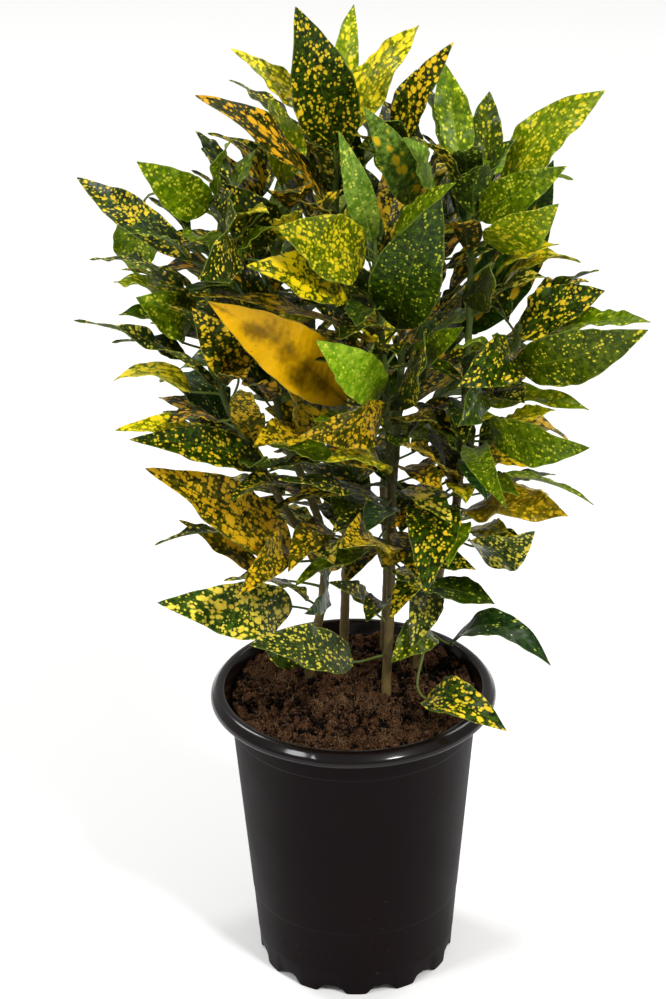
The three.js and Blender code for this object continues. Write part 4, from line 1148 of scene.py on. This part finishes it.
def makeStem(stem, materials):
    draws = np.random.default_rng(leaves["seed"] + list(stemPlans).index(stem))
    heap = Heap((
        "groundTint", "secondTint", "spotTint", "spotting",
        "flushRib", "bladePlace", "leafPick", "barkTint",
    ))
    own = [leaf for leaf in placed if leaf["stem"] == stem]
    for i, branch in enumerate(stemPlans[stem]):
        branch = [np.array(point, float) for point in branch]
        if i == 0:
            x, y = branch[0][:2]
            foot = np.array([x, y, soilTop - stems["foot"] + peat["gap"]])
            branch = [foot, np.array([x, y, soilTop + 2 * peat["lump"]]), *branch[1:]]
        seats = [
            leaf["seat"] for leaf in own
            if min(np.linalg.norm(leaf["seat"] - point) for point in branch) < stems["seatReach"]
        ]
        addCane(heap, branch, stems["branchRadius"] if i else stems["radius"], seats, draws)
    for leaf in own:
        if leaf["colouring"] is None:
            leaf["colouring"] = draws.choice(list(fillShares), p=list(fillShares.values()))
        addBlade(heap, leaf, draws)
        addPetiole(heap, leaf)
    return heap.piece(f"croton_stem_{stem}", materials, 50)


def leafSpots(book, lie, kind, share, cluster, ragged):
    # Spots of one size: where they are, a soft ring round them, and each one's own hue
    cells = book.node(
        "ShaderNodeTexVoronoi",
        {"voronoi_dimensions": "2D"},
        {"Vector": lie * kind["cells"], "Scale": 1.0, "Randomness": 0.95},
        "Distance",
    )
    chance, hue = book.parts(cells.other("Color"))[:2]
    size = book.rise(share * (0.3 + cluster * 1.4) - chance, -0.02, 0.35) * kind["widest"]
    inside = size - cells + ragged
    return book.rise(inside, -0.07, 0.17), book.rise(inside, -0.34, 0.06), hue


def leafBlade():
    book = Shader("leaf_blade")
    ground, second = book.mark("groundTint"), book.mark("secondTint")
    spot = book.mark("spotTint")
    alongVein, across, under = book.parts(book.mark("bladePlace"))
    share, edge, pick = book.parts(book.mark("leafPick"))
    flush, ribPale = book.parts(book.mark("flushRib"))[:2]
    distance = book.node("ShaderNodeMath", {"operation": "ABSOLUTE"}, {0: across})
    # each leaf lies on its own part of the pattern
    along = alongVein + distance * leaves["spotUpright"] + pick * 37.0
    place = {"X": along, "Y": across + pick * 91.0, "Z": pick * 5.0}
    lie = book.node("ShaderNodeCombineXYZ", {}, place)
    wobble = book.grain(lie, 2.2, 2.0, "Color")
    bent = lie + (wobble - (0.5, 0.5, 0.5)) * 0.1
    ragged = (book.grain(lie, 9.0, 2.0) - 0.5) * 0.24
    cluster = book.grain(lie, 0.7, 1.0)
    broad = book.grain(lie, 0.5, 1.0)
    amounts = book.parts(book.mark("spotting"))
    spots = [
        leafSpots(book, bent, kind, amount, gathered, ragged)
        for kind, amount, gathered in zip(leaves["spots"], amounts, (cluster, cluster, broad))
    ]
    # the ground, mottled with its second colour, along the side veins and round the spots too
    waved = alongVein + wobble.other("Fac") * 0.12
    halfVein = leaves["veinSpacing"] / 2
    veinTurn = book.node("ShaderNodeMath", {"operation": "PINGPONG"}, {0: waved, 1: halfVein})
    vein = 1 - book.rise(veinTurn, 0.0, 0.05)
    mottle = book.grain(lie, 2.6, 4.0)
    halo = book.larger(book.larger(spots[0][1], spots[1][1]), spots[2][1])
    lighter = book.rise(mottle, 0.4, 0.68) * 0.8 + vein * 0.12 + halo * 0.4
    colour = book.blend(lighter * (1 - flush), ground, second)
    flushed = book.rise(broad * 0.6 + mottle * 0.3 - edge * 0.3 - share * 0.08, 0.16, 0.5)
    colour = book.blend(flushed * flush * 0.9, colour, second)
    for kind, (mask, _, hue) in zip(leaves["spots"], spots):
        varied = book.blend(hue, spot, spot * kind["dull"])
        colour = book.blend(mask * kind["cover"], colour, varied)
    # the midrib, the margin and the duller underside
    rib = 1 - book.rise(distance, 0.015, 0.06)
    pale = book.blend(0.5, second, tone(176, 188, 84))
    colour = book.blend(rib * ribPale * (1.1 - share), colour, pale)
    colour = book.blend(book.rise(edge, 0.94, 1.0) * 0.4, colour, pale)
    underside = colour * (0.8, 0.82, 0.75) + (0.01, 0.012, 0.005)
    colour = book.blend(under * 0.8, colour, underside)
    rough = leaves["roughness"] + (mottle - 0.5) * 0.16 + under * 0.16
    quilt = book.rise(veinTurn, 0.0, halfVein)
    skin = book.grain(lie, 30.0, 2.0)
    height = quilt * 0.7 - rib * 0.5 + skin * 0.08 + mottle * 0.5
    return book.surface(colour, rough, height, (0.45, 0.0005), Specular_IOR_Level=0.15)


def caneBark():
    book = Shader("cane_bark")
    place = book.node("ShaderNodeTexCoord", {}, {}, "Object")
    woody = book.parts(book.mark("leafPick"))[2]
    tint = book.mark("barkTint")
    streak = book.grain(place * (1.0, 1.0, 0.12), 700.0, 3.0)
    cloud = book.grain(place, 90.0, 2.0)
    pale = book.rise(book.grain(place, 520.0, 1.0), 0.66, 0.74) * woody
    colour = tint * (0.55 + cloud * 0.45 + streak * 0.45)
    colour = book.blend(pale * 0.5, colour, tone(168, 150, 110))
    rough = 0.42 + woody * 0.22 + (streak - 0.5) * 0.15
    height = streak * woody + cloud * 0.3
    return book.surface(colour, rough, height, (0.4, 0.0005), Specular_IOR_Level=0.4)


# Dressing the solids

def dress(piece, node):
    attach(piece, "root")
    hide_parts(node)


dress(makePot(potPlastic()), "pot")
print("pot made")
dress(makePeat(peatMaterial()), "peat")
print("peat made")
placeLeaves()
stemMaterials = [leafBlade(), caneBark()]
for stem in stemPlans:
    dress(makeStem(stem, stemMaterials), f"leafy_stem_{stem}")
    print("stem made:", stem)


# The studio

studio = {
    "floorSize": 16, "floor": tone(250, 250, 250), "sky": tone(250, 249, 246), "skyStrength": 0.47,
    "lampAim": (0, 0, 0.3),
    "lights": (
        ("front_right", (1.5, -2.0, 2.7), 0.6, 76, (1.0, 0.99, 0.97)),
        ("front_left", (-2.0, -1.5, 2.6), 0.8, 38, (0.98, 0.99, 1.0)),
        ("back_left", (-1.8, 1.5, 2.7), 1.0, 40, (1.0, 1.0, 1.0)),
        ("back_right", (1.9, 1.5, 2.6), 1.2, 26, (1.0, 1.0, 1.0)),
    ),
}


def makeFloor():
    half = studio["floorSize"] / 2 / metre
    heap = Heap(())
    heap.add([(-half, -half, 0), (half, -half, 0), (half, half, 0), (-half, half, 0)], [[(0, 1, 2, 3)]])
    book = Shader("studio_floor")
    place = book.node("ShaderNodeTexCoord", {}, {}, "Object")
    faint = book.grain(place, 3.0, 2.0)
    colour = book.blend(faint * 0.1, studio["floor"], tone(246, 246, 246))
    material = book.surface(colour, 0.7 + faint * 0.1, faint, (0.05, 0.001))
    floor = heap.piece("studio_floor", [material], 40)
    floor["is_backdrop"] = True


def makeLights():
    for name, place, size, power, colour in studio["lights"]:
        lamp = bpy.data.lights.new(name, "AREA")
        lamp.shape = "DISK"
        lamp.size = size
        lamp.energy = power
        lamp.color = colour
        made = bpy.data.objects.new(name, lamp)
        made.location = place
        aim = Vector(studio["lampAim"]) - Vector(place)
        made.rotation_euler = aim.to_track_quat("-Z", "Y").to_euler()
        bpy.context.collection.objects.link(made)
    world = bpy.data.worlds.new("studio_sky")
    world.use_nodes = True
    sky = world.node_tree.nodes["Background"]
    sky.inputs["Color"].default_value = studio["sky"]
    sky.inputs["Strength"].default_value = studio["skyStrength"]
    bpy.context.scene.world = world


# The photograph's camera: it looks down on the rim from 2 m away
camera = {
    "distance": 2.0, "aimHeight": 0.205, "elevation": 29.8, "pitch": 26.3, "roll": -0.8,
    "focalPixels": 3000, "axisOffset": 20.3, "imageHeight": 999, "sensor": 36,
}


def makeCamera():
    elevation, pitch, roll = (math.radians(camera[key]) for key in ("elevation", "pitch", "roll"))
    yaw = math.atan(camera["axisOffset"] / camera["focalPixels"])
    away, above = camera["distance"] * math.cos(elevation), camera["distance"] * math.sin(elevation)
    place = Vector((0, -away, camera["aimHeight"] + above))
    ahead = Vector((-math.sin(yaw) * math.cos(pitch), math.cos(yaw) * math.cos(pitch), -math.sin(pitch)))
    right = ahead.cross(Vector((0, 0, 1))).normalized()
    up = right.cross(ahead)
    turnedRight = right * math.cos(roll) + up * math.sin(roll)
    turnedUp = up * math.cos(roll) - right * math.sin(roll)
    lens = bpy.data.cameras.new("photo_camera")
    lens.sensor_width = camera["sensor"]
    lens.lens = camera["focalPixels"] * camera["sensor"] / camera["imageHeight"]
    made = bpy.data.objects.new("photo_camera", lens)
    turn = Matrix((turnedRight, turnedUp, -ahead)).transposed().to_4x4()
    made.matrix_world = Matrix.Translation(place) @ turn
    bpy.context.collection.objects.link(made)
    bpy.context.scene.camera = made


makeFloor()
makeLights()
makeCamera()
bpy.context.scene.view_settings.view_transform = "Standard"
print("studio ready")

boxes = {
    name: [[round(value, 5) for value in corner] for corner in box]
    for name, box in (("solids", solidBox), ("looks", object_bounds()))
}
